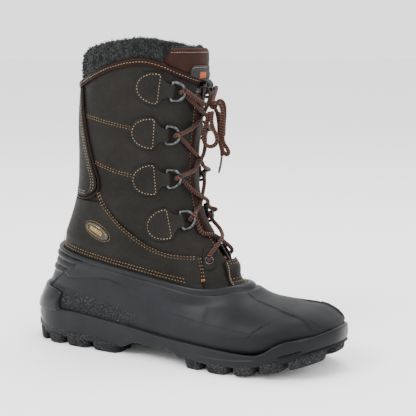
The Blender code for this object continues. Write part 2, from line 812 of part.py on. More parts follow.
def ring_frame(frame):
    """Centre of the bar and the ring's own axes: towards the tip, up the bar, out."""
    spot, forward, up, out = frame
    towards = forward * math.cos(RING_SWING_OUT) + out * math.sin(RING_SWING_OUT)
    outward = out * math.cos(RING_SWING_OUT) - forward * math.sin(RING_SWING_OUT)
    return spot + out * BAR_HEIGHT, towards, up, outward


def d_ring(name, frame, look, group):
    """Steel ring whose straight side turns in the leather loop; its origin is on that axis."""
    bar, towards, up, outward = ring_frame(frame)
    part = tube(name, [(x, y, 0) for x, y in ring_outline()], RING_WIRE, look, group, cyclic=True, resolution=1)
    axes = Matrix((towards, up, towards.cross(up))).transposed().to_4x4()
    part.matrix_world = Matrix.Translation(bar * MM) @ axes
    return part


def eyelet(name, frame, look, group):
    """Flanged steel eyelet, turned."""
    spot, forward, up, out = frame
    outline = ((4.2, 3.0), (4.2, 2.3), (2.75, 2.3), (2.75, -2.6), (EYELET_HOLE, -2.6), (EYELET_HOLE, 3.0))
    mesh = bpy.data.meshes.new(name)
    edges = [(i, (i + 1) % len(outline)) for i in range(len(outline))]
    mesh.from_pydata([(r, 0, h) for r, h in outline], edges, [])
    part = finish(name, mesh, look, group)
    screw = part.modifiers.new("turn", "SCREW")
    screw.steps = 14
    screw.render_steps = 14
    screw.use_merge_vertices = True
    screw.merge_threshold = 0.00001
    part.matrix_world = Matrix.Translation(spot * MM) @ out.to_track_quat("Z", "Y").to_matrix().to_4x4()
    return part


def eyelet_cutter(name, frame, group):
    spot, forward, up, out = frame
    bpy.ops.mesh.primitive_cylinder_add(vertices=14, radius=3.1 * MM, depth=30 * MM)
    cutter = bpy.context.object
    cutter.name = name
    cutter.matrix_world = Matrix.Translation(spot * MM) @ out.to_track_quat("Z", "Y").to_matrix().to_4x4()
    for owner in list(cutter.users_collection):
        owner.objects.unlink(cutter)
    group.objects.link(cutter)
    return hide_cutter(cutter)


def eyelet_tab(name, tree, frame, look, group):
    """Rounded leather tab under the eyelet."""
    spot, forward, up, out = frame
    rows = []
    for along, reach in ((11, 4.6), (6, 5.4), (1, 5.8), (-4, 5.8), (-7, 4.8), (-9, 2.2)):
        rows.append([drape(tree, spot + up * along + forward * reach * share, out, OVERLAY_OFFSET + 0.2)
                     for share in (-1, -0.4, 0.4, 1)])
    mesh = grid_mesh(name, rows)
    part = finish(name, mesh, look, group)
    normal = mesh.polygons[0].normal
    return solidify(part, OVERLAY_THICKNESS, offset=-1 if normal.dot(out) > 0 else 1)


def badge(tree, look, group):
    """Oval badge on the lateral quarter."""
    spot, forward, up, out = surface_frame(tree, -67, 117, LATERAL, lean=0)
    tilt = math.radians(-25)
    long_axis = forward * math.cos(tilt) + up * math.sin(tilt)
    short_axis = up * math.cos(tilt) - forward * math.sin(tilt)
    rows = []
    for i in range(9):
        a = math.pi * (i + 0.5) / 9
        along, reach = -13.5 * math.cos(a), 5.6 * math.sin(a)
        rows.append([drape(tree, spot + long_axis * along + short_axis * reach * share, out, 3.4)
                     for share in (-1, -0.33, 0.33, 1)])
    mesh = grid_mesh("badge", rows)
    part = finish("badge", mesh, look, group)
    normal = mesh.polygons[0].normal
    return solidify(part, 1.0, offset=-1 if normal.dot(out) > 0 else 1)


# ---------------------------------------------------------------- lace

def front_point(tree, angle, z, offset):
    """Point off the front of the shaft, by the angle from straight ahead."""
    a = math.radians(angle)
    start = Vector((-25, 0, z))
    spot, normal = tree.ray_cast(start, Vector((math.cos(a), -math.sin(a), 0)))[:2]
    if normal.dot(spot - start) < 0:
        normal = -normal
    return spot + normal * offset


def ring_turn(frame, rise):
    """The lace's turn round a ring's tip: in under the wire, up through the ring, out over it."""
    bar, towards, up, outward = ring_frame(frame)
    tip = bar + towards * RING_DEPTH + outward * 0.5
    gap = RING_WIRE + LACE_RADIUS + 1.0
    points = []
    for degrees, lift in ((-70, -2.2), (-112, -1.5), (-156, -0.5), (156, 0.5), (112, 1.5), (70, 2.2)):
        a = math.radians(degrees)
        points.append(tip + (towards * math.cos(a) + outward * math.sin(a)) * gap + up * lift * rise)
    return points


def lace_half(tree, frames, eyelet_frame, start_side):
    """The lace's run on the way down from the knot to one eyelet, as route points."""
    route = []
    crossings = (229.5, 189.5, 149.5, 113)
    side = start_side
    for k in range(4):
        route += ring_turn(frames[(k, side)], 1)[::-1]
        high = (k % 2 == 0) == (side == LATERAL)
        level = 6.6 if high else 2.6
        z_from, z_to = RINGS[k][1], RINGS[k + 1][1] if k < 3 else EYELET_Z + 6
        tip_side = side
        if side == MEDIAL:
            route.append(front_point(tree, -21, crossings[k] + 0.5 * (z_from - crossings[k]), 5.4))
        route.append(front_point(tree, tip_side * 13, crossings[k] + 0.28 * (z_from - crossings[k]), level + 1.4))
        route.append(front_point(tree, 0, crossings[k], level))
        if k < 3:
            route.append(front_point(tree, -tip_side * 13, crossings[k] + 0.28 * (z_to - crossings[k]), level + 1.8))
            if side == LATERAL:
                route.append(front_point(tree, -21, crossings[k] + 0.5 * (z_to - crossings[k]), 5.4))
        side = -side
    spot, forward, up, out = eyelet_frame
    route += [spot + out * 7.5 + up * 4.5, spot + out * 4, spot, spot - out * 3.4]
    return route


def lace_run(tree, frames, eyelets, look, group):
    """The held lace: knot, rings, both eyelets, the bar between them and back to the knot."""
    down = lace_half(tree, frames, eyelets[LATERAL], LATERAL)
    back = lace_half(tree, frames, eyelets[MEDIAL], MEDIAL)
    bar = [eyelets[LATERAL][0] - eyelets[LATERAL][3] * 5.2 + Vector((1.6, 2.6, 0.2)),
           front_point(tree, 7, 95.5, -4.8), front_point(tree, 0, 95.5, -3.5), front_point(tree, -7, 95.5, -4.8),
           eyelets[MEDIAL][0] - eyelets[MEDIAL][3] * 5.2 + Vector((1.6, -2.6, 0.2))]
    first = [KNOT + Vector((-3.4, -4.6, 0.4)), KNOT + Vector((-6.5, -9.5, 2.2))]
    last = [KNOT + Vector((-6.5, 9.5, 2.2)), KNOT + Vector((-3.4, 4.6, 0.4))]
    route = first + down + bar + back[::-1] + last
    return tube("lace_run", eased_route(route, 9), LACE_RADIUS, look, group, resolution=1)


def lace_knot(look, group):
    bpy.ops.mesh.primitive_uv_sphere_add(segments=12, ring_count=8, radius=1)
    part = bpy.context.object
    part.name = "lace_knot"
    part.data.transform(Matrix.Diagonal((0.0038, 0.0040, 0.0040, 1)))
    part.location = KNOT * MM
    part.data.materials.append(look)
    for owner in list(part.users_collection):
        owner.objects.unlink(part)
    group.objects.link(part)
    return part


# ---------------------------------------------------------------- assembly

def build():
    clear_scene()
    parts = collection("insulated_boot")
    cutters = collection("cutters")
    tree = form_tree()

    leather = material("waxed_leather", (0.030, 0.026, 0.022), 0.55)
    trim = material("brown_leather", (0.060, 0.022, 0.012), 0.5)
    rubber = material("moulded_rubber", (0.036, 0.038, 0.041), 0.42)
    tread = material("tread_rubber", (0.020, 0.020, 0.021), 0.75)
    gloss = material("clip_plastic", (0.030, 0.031, 0.033), 0.3)
    fleece = material("fleece", (0.050, 0.055, 0.062), 0.95)
    felt = material("felt", (0.20, 0.20, 0.21), 0.9)
    board = material("fibre_board", (0.28, 0.20, 0.12), 0.8)
    steel = material("steel", (0.55, 0.56, 0.58), 0.25, 1.0)
    cord = material("lace_cord", (0.075, 0.020, 0.012), 0.7)
    webbing = material("webbing", (0.015, 0.015, 0.016), 0.8)
    gold = material("badge_metal", (0.55, 0.38, 0.14), 0.35, 1.0)
    tip = material("aglet_plastic", (0.025, 0.010, 0.008), 0.35)

    outsole(tree, tread, parts, cutters)
    wall_band("heel_clip", spread(112, 248, 16), lambda x: spline_value(WALL_LINE, x) + 1,
              lambda x: max(spline_value(CLIP_LINE, x), spline_value(WALL_LINE, x) + 3), gloss, parts)
    rubber_shell(rubber, parts)
    plank("shank", -72, 22, 36, LUG_DEPTH + 7.4, LUG_DEPTH + 8.4, steel, parts)
    plank("insole_board", -112, 110, 26, LUG_DEPTH + 8.8, LUG_DEPTH + 9.8, board, parts)
    plank("footbed", -114, 108, 29, LUG_DEPTH + 18, LUG_DEPTH + 21, felt, parts)
    lining(felt, parts)
    eyelets = {}
    holes = {}
    for side, word in ((LATERAL, "lateral"), (MEDIAL, "medial")):
        eyelets[side] = surface_frame(tree, EYELET_X, EYELET_Z, side)
        holes[side] = eyelet_cutter("hole_" + word, eyelets[side], cutters)
        cut(shaft_panel("shaft_" + word, side, leather, parts), holes[side])
        lower_quarter("lower_quarter_" + word, side, leather, parts)
        cut(eyelet_tab("eyelet_tab_" + word, tree, eyelets[side], leather, parts), holes[side])
        eyelet("eyelet_" + word, eyelets[side], steel, parts)
    backstay(leather, parts)
    backstay_piping(trim, parts)
    top_binding(trim, parts)
    fleece_cuff(fleece, parts)
    vamp(leather, parts)
    tongue(trim, parts)
    tongue_pad(trim, parts)
    tongue_fleece(fleece, parts)
    tongue_patch(webbing, parts)
    tongue_label(webbing, parts)
    pull_tab(webbing, parts)
    badge(tree, gold, parts)

    frames = {}
    for k, (x, z, lean) in enumerate(RINGS):
        for side, word in ((LATERAL, "lateral"), (MEDIAL, "medial")):
            setback = MEDIAL_RING_SETBACK if side == MEDIAL else 0
            frames[(k, side)] = surface_frame(tree, x - setback, z, side, lean)
            ring_tab(f"ring_tab_{word}_{k + 1}", tree, frames[(k, side)], leather, parts)
            d_ring(f"d_ring_{word}_{k + 1}", frames[(k, side)], steel, parts)

    lace_run(tree, frames, eyelets, cord, parts)
    lace_knot(cord, parts)
    for name, route in (("bow_loop_left", LEFT_LOOP), ("bow_loop_right", RIGHT_LOOP), ("tail_near", NEAR_TAIL),
                        ("tail_far", FAR_TAIL)):
        tube(name, smooth_route(route, 5), LACE_RADIUS, cord, parts)
    tube("aglet_near", NEAR_AGLET, 1.1, tip, parts)
    tube("aglet_far", FAR_AGLET, 1.1, tip, parts)


build()
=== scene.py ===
"""Visual model of an insulated winter boot for the right foot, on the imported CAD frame.

Frame: +X toe, -Y outer side, +Z up. Lengths in the tables are millimetres.
"""
import json
import math

import bpy
import numpy as np
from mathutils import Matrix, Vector
from mathutils.bvhtree import BVHTree
from mathutils.kdtree import KDTree

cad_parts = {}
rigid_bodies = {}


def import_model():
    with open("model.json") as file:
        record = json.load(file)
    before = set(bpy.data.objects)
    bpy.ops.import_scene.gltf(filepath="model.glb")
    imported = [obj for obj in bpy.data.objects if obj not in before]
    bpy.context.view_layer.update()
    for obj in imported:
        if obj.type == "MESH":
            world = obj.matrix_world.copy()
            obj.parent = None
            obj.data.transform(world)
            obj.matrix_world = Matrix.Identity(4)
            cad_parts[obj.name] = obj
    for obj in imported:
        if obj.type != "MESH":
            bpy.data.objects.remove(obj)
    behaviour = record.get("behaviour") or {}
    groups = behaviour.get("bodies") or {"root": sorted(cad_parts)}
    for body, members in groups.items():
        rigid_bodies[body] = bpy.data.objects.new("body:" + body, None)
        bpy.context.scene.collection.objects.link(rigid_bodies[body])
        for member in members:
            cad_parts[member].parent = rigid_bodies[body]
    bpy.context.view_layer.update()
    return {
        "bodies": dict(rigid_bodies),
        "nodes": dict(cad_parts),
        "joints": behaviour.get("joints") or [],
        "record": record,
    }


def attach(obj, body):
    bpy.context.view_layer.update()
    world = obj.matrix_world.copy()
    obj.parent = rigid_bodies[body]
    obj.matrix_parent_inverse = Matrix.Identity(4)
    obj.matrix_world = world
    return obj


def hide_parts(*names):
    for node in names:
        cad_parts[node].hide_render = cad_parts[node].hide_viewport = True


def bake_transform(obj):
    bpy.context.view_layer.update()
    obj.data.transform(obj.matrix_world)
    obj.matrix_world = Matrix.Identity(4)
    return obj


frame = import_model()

ROOT = "boot"
MM = 0.001
SIDES = ((1, "lateral"), (-1, "medial"))

# ---------------------------------------------------------------- camera

CAMERA_AZIMUTH = math.radians(30)
CAMERA_ELEVATION = math.radians(8.7)
CAMERA_TARGET = Vector((0.0266, 0.0, 0.140))
CAMERA_DISTANCE = 1.06
CAMERA_LENS = 98.1
LIT_POINT = (0, 0, 0.14)
FLOOR_RADIUS = 14

# ---------------------------------------------------------------- the form

# The same driving form as the CAD: sections from the top of the shaft round the heel to the toe.
# Front point, back point, half widths, widest share, squareness front and back, shift in Y.
FORM = np.array((
    (22.5, 291, -102, 283, 47.5, 46.5, 0.48, 2.15, 2.3, 0),
    (20, 258, -104, 250, 47, 46, 0.48, 2.15, 2.3, 0),
    (16, 226, -107, 218, 46, 45, 0.47, 2.15, 2.3, 0),
    (12, 190, -107, 182, 45, 44, 0.46, 2.15, 2.3, 0),
    (13, 158, -109, 150, 45, 44, 0.45, 2.1, 2.4, 0),
    (19, 134, -119.5, 118, 45, 44, 0.44, 2.1, 2.5, 0),
    (30.5, 116.5, -136, 82, 45, 44, 0.43, 2.0, 2.7, 0),
    (43, 101.5, -149.5, 48, 44.5, 43.5, 0.42, 2.0, 2.9, 0),
    (52, 88.5, -153.5, 21, 43.5, 43.5, 0.40, 2.0, 3.1, 0),
    (61, 77, -99, 12.2, 43.5, 44, 0.38, 2.0, 3.4, 0),
    (73, 69, -40, 12.2, 45, 46, 0.36, 2.0, 3.8, 1),
    (85, 63, 20, 12, 50, 51, 0.34, 2.1, 4.0, 2),
    (100, 60, 65, 12.5, 54.5, 55, 0.34, 2.2, 4.2, 3),
    (118, 58, 100, 16, 54, 53, 0.37, 2.4, 4.2, 5),
    (137, 56, 130, 23.5, 45, 44, 0.42, 2.6, 3.8, 7),
    (151, 49, 149, 30, 29, 28, 0.48, 2.5, 3.2, 9),
    (158, 41, 158, 38, 6, 6, 0.50, 2.2, 2.4, 10),
))
TOP_EDGE = ((0, 258), (19, 262.5), (35, 267.5), (50, 273.5), (66, 277.5), (82, 276), (98, 270.5),
            (115, 263.5), (141, 255.5), (180, 254))
CUFF_TOP = ((48, 296), (72, 298.5), (96, 295.5), (120, 291), (144, 286), (180, 286), (216, 287),
            (240, 291.5), (264, 295.5), (288, 291.5), (312, 286))
RIM_LINE = ((-160, 101), (-120, 96), (-83, 90), (-26, 80), (24, 70), (47, 69.5), (66, 72), (90, 74))
SWOOSH_LINE = ((-130, 144.5), (-66, 144.5), (-60, 142), (-47, 129), (-31, 117), (-14, 106), (5, 99.5),
               (40, 98))
WALL_LINE = ((-160, 35), (-101, 35), (-45, 30), (5, 25), (60, 22.5), (100, 21.5), (110, 24), (121, 31),
             (128, 34.5), (137, 36.5), (147, 38.5), (161, 42))
BACKSTAY_HALF_ANGLE = ((147, 62), (150, 70), (156, 77), (165, 77), (178, 71), (193, 64), (212, 57),
                       (230, 50), (250, 42))
SOLE_OUTLINE = (
    (-160, 0), (-151, -28), (-129, -43), (-85, -46.5), (-30, -48), (20, -52.5), (65, -57.5), (105, -55),
    (138, -40), (156, -13), (161, 10), (154, 34), (127, 54), (85, 61), (40, 57.5), (-10, 51),
    (-60, 47), (-110, 45.5), (-147, 30),
)
TOE_INDEX = 10
SPRING_START = 60
SPRING_RISE = 18
LUG_DEPTH = 8


def line(points, place):
    """Heights at places on a smooth line through (place, height) points, level beyond its ends."""
    xs, ys = np.array(points, float).T
    slopes = np.empty(len(xs))
    slopes[1:-1] = (ys[2:] - ys[:-2]) / (xs[2:] - xs[:-2])
    slopes[0] = (ys[1] - ys[0]) / (xs[1] - xs[0])
    slopes[-1] = (ys[-1] - ys[-2]) / (xs[-1] - xs[-2])
    x = np.clip(np.asarray(place, float), xs[0], xs[-1])
    k = np.clip(np.searchsorted(xs, x, "right") - 1, 0, len(xs) - 2)
    run = xs[k + 1] - xs[k]
    f = (x - xs[k]) / run
    return (ys[k] * (1 + 2 * f) * (1 - f) ** 2 + ys[k + 1] * f * f * (3 - 2 * f)
            + run * f * (1 - f) * (slopes[k] * (1 - f) - slopes[k + 1] * f))


def smooth(value, low, high):
    """0 at low, 1 at high, smooth between; low may be the larger."""
    f = np.clip((np.asarray(value, float) - low) / (high - low), 0, 1)
    return f * f * (3 - 2 * f)


def catmull(p0, p1, p2, p3, f):
    return 0.5 * (2 * p1 + (p2 - p0) * f + (2 * p0 - 5 * p1 + 4 * p2 - p3) * f * f
                  + (3 * p1 - p0 - 3 * p2 + p3) * f ** 3)


def form(s, angle):
    """Points of the form in mm. Angle 0 is the front, 180 the back, positive on the lateral side."""
    s, angle = np.broadcast_arrays(np.asarray(s, float), np.asarray(angle, float))
    last = len(FORM) - 1
    place = np.clip(s, 0, 1) * last
    k = np.minimum(place.astype(int), last - 1)
    padded = np.vstack([2 * FORM[0] - FORM[1], FORM, 2 * FORM[-1] - FORM[-2]])
    row = catmull(padded[k], padded[k + 1], padded[k + 2], padded[k + 3], (place - k)[..., None])
    fx, fz, bx, bz, lateral, medial, widest, front_power, back_power, shift = np.moveaxis(row, -1, 0)
    c, si = np.cos(np.radians(angle)), np.sin(np.radians(angle))
    power = 2 / np.where(c >= 0, front_power, back_power)
    reach = np.abs(c) ** power
    t = np.where(c >= 0, widest + (1 - widest) * reach, widest - widest * reach)
    width = np.where(si >= 0, lateral, medial)
    y = shift - np.sign(si) * width * np.abs(si) ** power
    return np.stack([bx + (fx - bx) * t, y, bz + (fz - bz) * t], -1)


def unit(v):
    return v / np.maximum(np.linalg.norm(v, axis=-1, keepdims=True), 1e-9)


def normal(s, angle):
    """Outward normals of the form."""
    s, angle = np.broadcast_arrays(np.asarray(s, float), np.asarray(angle, float))
    along = form(np.minimum(s + 0.004, 1), angle) - form(np.maximum(s - 0.004, 0), angle)
    around = form(s, angle + 1.5) - form(s, angle - 1.5)
    return unit(np.cross(around, along))


def skin(s, angle, offset=0.0):
    """Points at an offset out from the form."""
    return form(s, angle) + np.asarray(offset)[..., None] * normal(s, angle)


def travel_table():
    places = np.linspace(0, 1, 600)
    front, back = form(places, 0), form(places, 180)
    step = (np.linalg.norm(np.diff(front, axis=0), axis=1) + np.linalg.norm(np.diff(back, axis=0), axis=1)) / 2
    return places, np.concatenate([[0], np.cumsum(step)])


TRAVEL = travel_table()


def slide(start, end, share):
    """Places at a share of the way along the surface from one place to another."""
    places, travelled = TRAVEL
    first, last = np.interp(start, places, travelled), np.interp(end, places, travelled)
    return np.interp(first + (last - first) * share, travelled, places)


def find_s(angle, height, low=0.0, high=1.0):
    """Where the form, going down at each angle, crosses a line of height against x."""
    angle = np.asarray(angle, float)
    low = np.full(angle.shape, low, float)
    high = np.full(angle.shape, high, float)
    for _ in range(40):
        middle = (low + high) / 2
        p = form(middle, angle)
        above = p[..., 2] > height(p[..., 0])
        low = np.where(above, middle, low)
        high = np.where(above, high, middle)
    return (low + high) / 2


def level_s(angle, z):
    """Where the form is at a height, given once or for each angle."""
    return find_s(angle, lambda x: z + 0 * x)


def rim_height(x):
    return line(RIM_LINE, x)


def top_height(angle):
    return line(TOP_EDGE, np.abs((np.asarray(angle) + 180) % 360 - 180))


def top_s(angle, below=0.0):
    height = top_height(angle) - below
    return find_s(angle, lambda x: height)


def rim_s(angle, below=0.0):
    return find_s(angle, lambda x: rim_height(x) - below, 0.1, 0.75)


def form_tree():
    rows, columns = 260, 240
    s, a = np.meshgrid(np.linspace(0, 1, rows + 1), np.arange(columns) * 360 / columns, indexing="ij")
    points = form(s, a).reshape(-1, 3)
    faces = []
    for i in range(rows):
        for j in range(columns):
            k = (j + 1) % columns
            faces.append((i * columns + j, i * columns + k, (i + 1) * columns + k, (i + 1) * columns + j))
    return BVHTree.FromPolygons([Vector(p) for p in points], faces)


TREE = form_tree()


def side_point(x, z, side):
    """Point of the form seen square from one side, and its outward normal."""
    spot, out = TREE.ray_cast(Vector((x, -side * 120, z)), Vector((0, side, 0)))[:2]
    return spot, -out if out.y * side > 0 else out


# ---------------------------------------------------------------- mesh building

def add_mesh(name, points, faces, look, body=ROOT):
    """New object from points in mm."""
    mesh = bpy.data.meshes.new(name)
    mesh.from_pydata((np.asarray(points, float) * MM).tolist(), [], faces)
    mesh.shade_smooth()
    mesh.materials.append(look)
    obj = bpy.data.objects.new(name, mesh)
    bpy.context.scene.collection.objects.link(obj)
    if body:
        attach(obj, body)
    return obj


def dress(obj, slot, *nodes):
    """Hides the CAD nodes that a piece stands for; the slot is not used."""
    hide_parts(*nodes)
    return obj


def grid_faces(rows, columns, wrap=False, start=0):
    faces = []
    for i in range(rows - 1):
        for j in range(columns if wrap else columns - 1):
            a, b = start + i * columns + j, start + i * columns + (j + 1) % columns
            faces.append((a, b, b + columns, a + columns))
    return faces


def turned(faces):
    """The same faces seen from the other side."""
    return [tuple(reversed(f)) for f in faces]


def capped_faces(rows, columns):
    """Faces of a loft of closed rows, with a cap at each end."""
    ends = [tuple(range(columns))[::-1], tuple(range((rows - 1) * columns, rows * columns))]
    return grid_faces(rows, columns, wrap=True) + ends


def ring_faces(rows, columns):
    """Faces of a loft of closed rows whose last row joins the first."""
    last = (rows - 1) * columns
    closing = [(last + j, last + (j + 1) % columns, (j + 1) % columns, j) for j in range(columns)]
    return grid_faces(rows, columns, wrap=True) + closing


def sheet_solid(name, outer, inner, look, wrap=False, sharp=False, flip=False, cap=False):
    """Closed solid between two grids of one size; a capped one is closed at its last rows as a sock is."""
    rows, columns = outer.shape[:2]
    n = rows * columns
    points = np.concatenate([outer.reshape(-1, 3), inner.reshape(-1, 3)])
    faces = grid_faces(rows, columns, wrap) + turned(grid_faces(rows, columns, wrap, n))
    for j in range(columns if wrap else columns - 1):
        k = (j + 1) % columns
        faces.append((k, j, n + j, n + k))
        a, b = (rows - 1) * columns + j, (rows - 1) * columns + k
        if not cap:
            faces.append((a, b, n + b, n + a))
    if cap:
        last = tuple(range((rows - 1) * columns, rows * columns))
        faces += [last, tuple(n + i for i in reversed(last))]
    if not wrap:
        for i in range(rows - 1):
            a, b = i * columns, (i + 1) * columns
            faces.append((a, b, n + b, n + a))
            a, b = a + columns - 1, b + columns - 1
            faces.append((b, a, n + a, n + b))
    obj = add_mesh(name, points, turned(faces) if flip else faces, look)
    if sharp:
        obj.data.set_sharp_from_angle(angle=math.radians(50))
    return obj


def quarter_round(share, floor=0.0):
    """Height of a quarter circle, 0 to 1, at a share of the way in from its edge."""
    return np.sqrt(np.clip(1 - (1 - np.clip(share, 0, 1)) ** 2, floor, 1))


def rounded(distance, radius):
    """Drop of a rounded edge of a given radius at a distance from it."""
    return radius * (1 - quarter_round(distance / radius))


def tube_rings(points, radius, sides, closed=False):
    """Rings of points along a route, in frames carried along it without twist."""
    p = np.asarray(points, float)
    if closed:
        tangent = unit(np.roll(p, -1, 0) - np.roll(p, 1, 0))
    else:
        tangent = unit(np.gradient(p, axis=0))
    first = np.array((0.0, 0.0, 1.0))
    if abs(first @ tangent[0]) > 0.95:
        first = np.array((1.0, 0.0, 0.0))
    frames = []
    side = unit(first - tangent[0] * (first @ tangent[0]))
    for t in tangent:
        side = unit(side - t * (side @ t))
        frames.append((side, np.cross(t, side)))
    if closed:
        a, b = frames[0]
        t0 = tangent[0]
        last = unit(frames[-1][0] - t0 * (frames[-1][0] @ t0))
        twist = math.atan2(last @ b, last @ a)
        for i, t in enumerate(tangent):
            w = -twist * i / len(tangent)
            s, u = frames[i]
            frames[i] = (s * math.cos(w) + u * math.sin(w), u * math.cos(w) - s * math.sin(w))
    angles = np.linspace(0, 2 * math.pi, sides, endpoint=False)
    radius = np.asarray(radius, float)
    radius = np.broadcast_to(radius if radius.ndim == 2 else radius.reshape(-1, 1), (len(p), sides))
    return np.array([[q + r[j] * (s * math.cos(a) + u * math.sin(a)) for j, a in enumerate(angles)]
                     for q, r, (s, u) in zip(p, radius, frames)])


def travel(points):
    p = np.asarray(points, float)
    return np.concatenate([[0], np.cumsum(np.linalg.norm(np.diff(p, axis=0), axis=1))])


def resample(points, step):
    """The same line with points evenly spaced."""
    p = np.asarray(points, float)
    along = travel(p)
    count = max(2, int(round(along[-1] / step)) + 1)
    goal = np.linspace(0, along[-1], count)
    return np.stack([np.interp(goal, along, p[:, i]) for i in range(3)], 1)


def curve(points, step=1.0, dense=16):
    """Smooth curve through points, evenly spaced."""
    p = np.asarray(points, float)
    ends = np.vstack([2 * p[0] - p[1], p, 2 * p[-1] - p[-2]])
    f = np.arange(dense)[:, None] / dense
    return resample(np.vstack([catmull(*ends[k:k + 4], f) for k in range(len(p) - 1)] + [p[-1:]]), step)


def closed_curve(points, dense):
    """Smooth closed curve through points, with a number of places from each to the next."""
    p = np.array(points, float)
    n = len(p)
    f = np.arange(dense)[:, None] / dense
    return np.vstack([catmull(p[k - 1], p[k], p[(k + 1) % n], p[(k + 2) % n], f) for k in range(n)])


# ---------------------------------------------------------------- materials

class Look:
    """A node material under construction."""

    def __init__(self, name, roughness, metallic=0.0, coat=0.0, sheen=0.0, specular=0.5):
        self.mat = bpy.data.materials.new(name)
        self.mat.use_nodes = True
        self.nodes, self.links = self.mat.node_tree.nodes, self.mat.node_tree.links
        self.bsdf = self.nodes["Principled BSDF"]
        for key, value in (("Roughness", roughness), ("Metallic", metallic), ("Coat Weight", coat),
                           ("Coat Roughness", 0.1), ("Sheen Weight", sheen),
                           ("Specular IOR Level", specular)):
            self.bsdf.inputs[key].default_value = value
        self.coords = self.nodes.new("ShaderNodeTexCoord")
        self.normal = None

    def node(self, kind, **settings):
        made = self.nodes.new(kind)
        for key, value in settings.items():
            setattr(made, key, value)
        return made

    def texture(self, kind, settings, **inputs):
        """Texture node in object space."""
        made = self.node(kind, **settings)
        for key, value in inputs.items():
            made.inputs[key].default_value = value
        self.links.new(self.coords.outputs["Object"], made.inputs["Vector"])
        return made

    def noise(self, scale, detail=3.0, roughness=0.5, distortion=0.0):
        return self.texture("ShaderNodeTexNoise", {}, Scale=scale, Detail=detail, Roughness=roughness,
                            Distortion=distortion).outputs["Fac"]

    def cells(self, scale, feature="F1", smoothness=1.0):
        extra = {"Smoothness": smoothness} if feature == "SMOOTH_F1" else {}
        made = self.texture("ShaderNodeTexVoronoi", {"feature": feature}, Scale=scale, **extra)
        return made.outputs["Distance"]

    def wave(self, scale, direction, distortion=0.0):
        return self.texture("ShaderNodeTexWave", {"wave_type": "BANDS", "bands_direction": direction},
                            Scale=scale, Distortion=distortion).outputs["Fac"]

    def ramp(self, fac, *stops):
        made = self.node("ShaderNodeValToRGB")
        band = made.color_ramp
        band.elements[0].position, band.elements[1].position = stops[0][0], stops[-1][0]
        band.elements[0].color, band.elements[1].color = (*stops[0][1], 1), (*stops[-1][1], 1)
        for position, colour in stops[1:-1]:
            band.elements.new(position).color = (*colour, 1)
        self.links.new(fac, made.inputs["Fac"])
        return made.outputs["Color"]

    def mix(self, a, b, fac):
        made = self.node("ShaderNodeMix", data_type="RGBA")
        for key, value in (("Factor", fac), ("A", a), ("B", b)):
            sockets = [s for s in made.inputs if s.name == key and s.enabled]
            if hasattr(value, "links"):
                self.links.new(value, sockets[0])
            else:
                sockets[0].default_value = value if key == "Factor" else (*value, 1)
        return next(s for s in made.outputs if s.enabled)

    def math(self, operation, a, b=0.0):
        made = self.node("ShaderNodeMath", operation=operation)
        for socket, value in zip(made.inputs, (a, b)):
            if hasattr(value, "links"):
                self.links.new(value, socket)
            else:
                socket.default_value = value
        return made.outputs[0]

    def colour(self, value):
        self.links.new(value, self.bsdf.inputs["Base Color"])

    def where(self, fac, start, end, high=1.0):
        """Mask that rises from 0 at start to high at end, or falls when end is the lower."""
        stops = ((start, (0, 0, 0)), (end, (1, 1, 1)))
        mask = self.ramp(fac, *sorted(stops))
        return mask if high == 1 else self.math("MULTIPLY", mask, high)

    def rough(self, fac, low, high):
        made = self.node("ShaderNodeMapRange")
        made.inputs["To Min"].default_value = low
        made.inputs["To Max"].default_value = high
        self.links.new(fac, made.inputs["Value"])
        self.links.new(made.outputs["Result"], self.bsdf.inputs["Roughness"])

    def bump(self, height, distance, strength=1.0):
        made = self.node("ShaderNodeBump")
        made.inputs["Strength"].default_value = strength
        made.inputs["Distance"].default_value = distance
        self.links.new(height, made.inputs["Height"])
        if self.normal:
            self.links.new(self.normal, made.inputs["Normal"])
        self.normal = made.outputs["Normal"]
        self.links.new(self.normal, self.bsdf.inputs["Normal"])


def leather(name, dark, light, worn, roughness=0.5, grain=1.0):
    look = Look(name, roughness, specular=0.09)
    base = look.ramp(look.noise(28, 4, 0.6), (0.3, dark), (0.7, light))
    look.colour(look.mix(base, worn, look.where(look.noise(420, 3, 0.6), 0.55, 0.8, 0.35)))
    look.rough(look.noise(190, 3, 0.6), roughness - 0.1, roughness + 0.14)
    look.bump(look.cells(760, "SMOOTH_F1", 0.6), 0.00022 * grain, 0.8)
    look.bump(look.noise(2300, 2, 0.6), 0.00006 * grain, 0.8)
    look.bump(look.noise(75, 3, 0.55, distortion=0.4), 0.0009 * grain, 0.35)
    return look.mat


def tread_rubber():
    """Stippled rubber of the lugs, with painted glints on the stipple's tops and painted shade in its pits."""
    dark, light, roughness = (0.006, 0.006, 0.0065), (0.017, 0.0175, 0.0185), 0.72
    look = Look("tread_rubber_visual", roughness, specular=0.1)
    base = look.ramp(look.noise(34, 5, 0.65), (0.3, dark), (0.72, light))
    stipple_relief = look.noise(700, 3, 0.75)
    # painted glints: pale specks where the stipple stands highest
    base = look.mix(base, tuple(5.5 * c for c in light), look.where(stipple_relief, 0.52, 0.72, 0.75))
    # painted shade: dark specks in the stipple's pits
    look.colour(look.mix(base, tuple(0.35 * c for c in dark), look.where(stipple_relief, 0.46, 0.3)))
    look.bump(look.cells(620), 0.0006, 0.9)
    look.bump(stipple_relief, 0.0009, 1.0)
    look.rough(look.noise(240, 4, 0.7), roughness - 0.07, roughness + 0.1)
    return look.mat


def steel(name, dark, light):
    look = Look(name, 0.24, metallic=1.0)
    look.colour(look.ramp(look.noise(260, 4, 0.7), (0.3, dark), (0.7, light)))
    look.rough(look.noise(500, 4, 0.7), 0.16, 0.36)
    look.bump(look.noise(1500, 2, 0.6), 0.00003, 0.5)
    return look.mat


def thread(name, dark, light):
    look = Look(name, 0.62, sheen=0.1, specular=0.25)
    look.colour(look.ramp(look.noise(180, 3, 0.7), (0.32, dark), (0.68, light)))
    look.bump(look.wave(900, "DIAGONAL", 1.5), 0.00012, 0.8)
    return look.mat


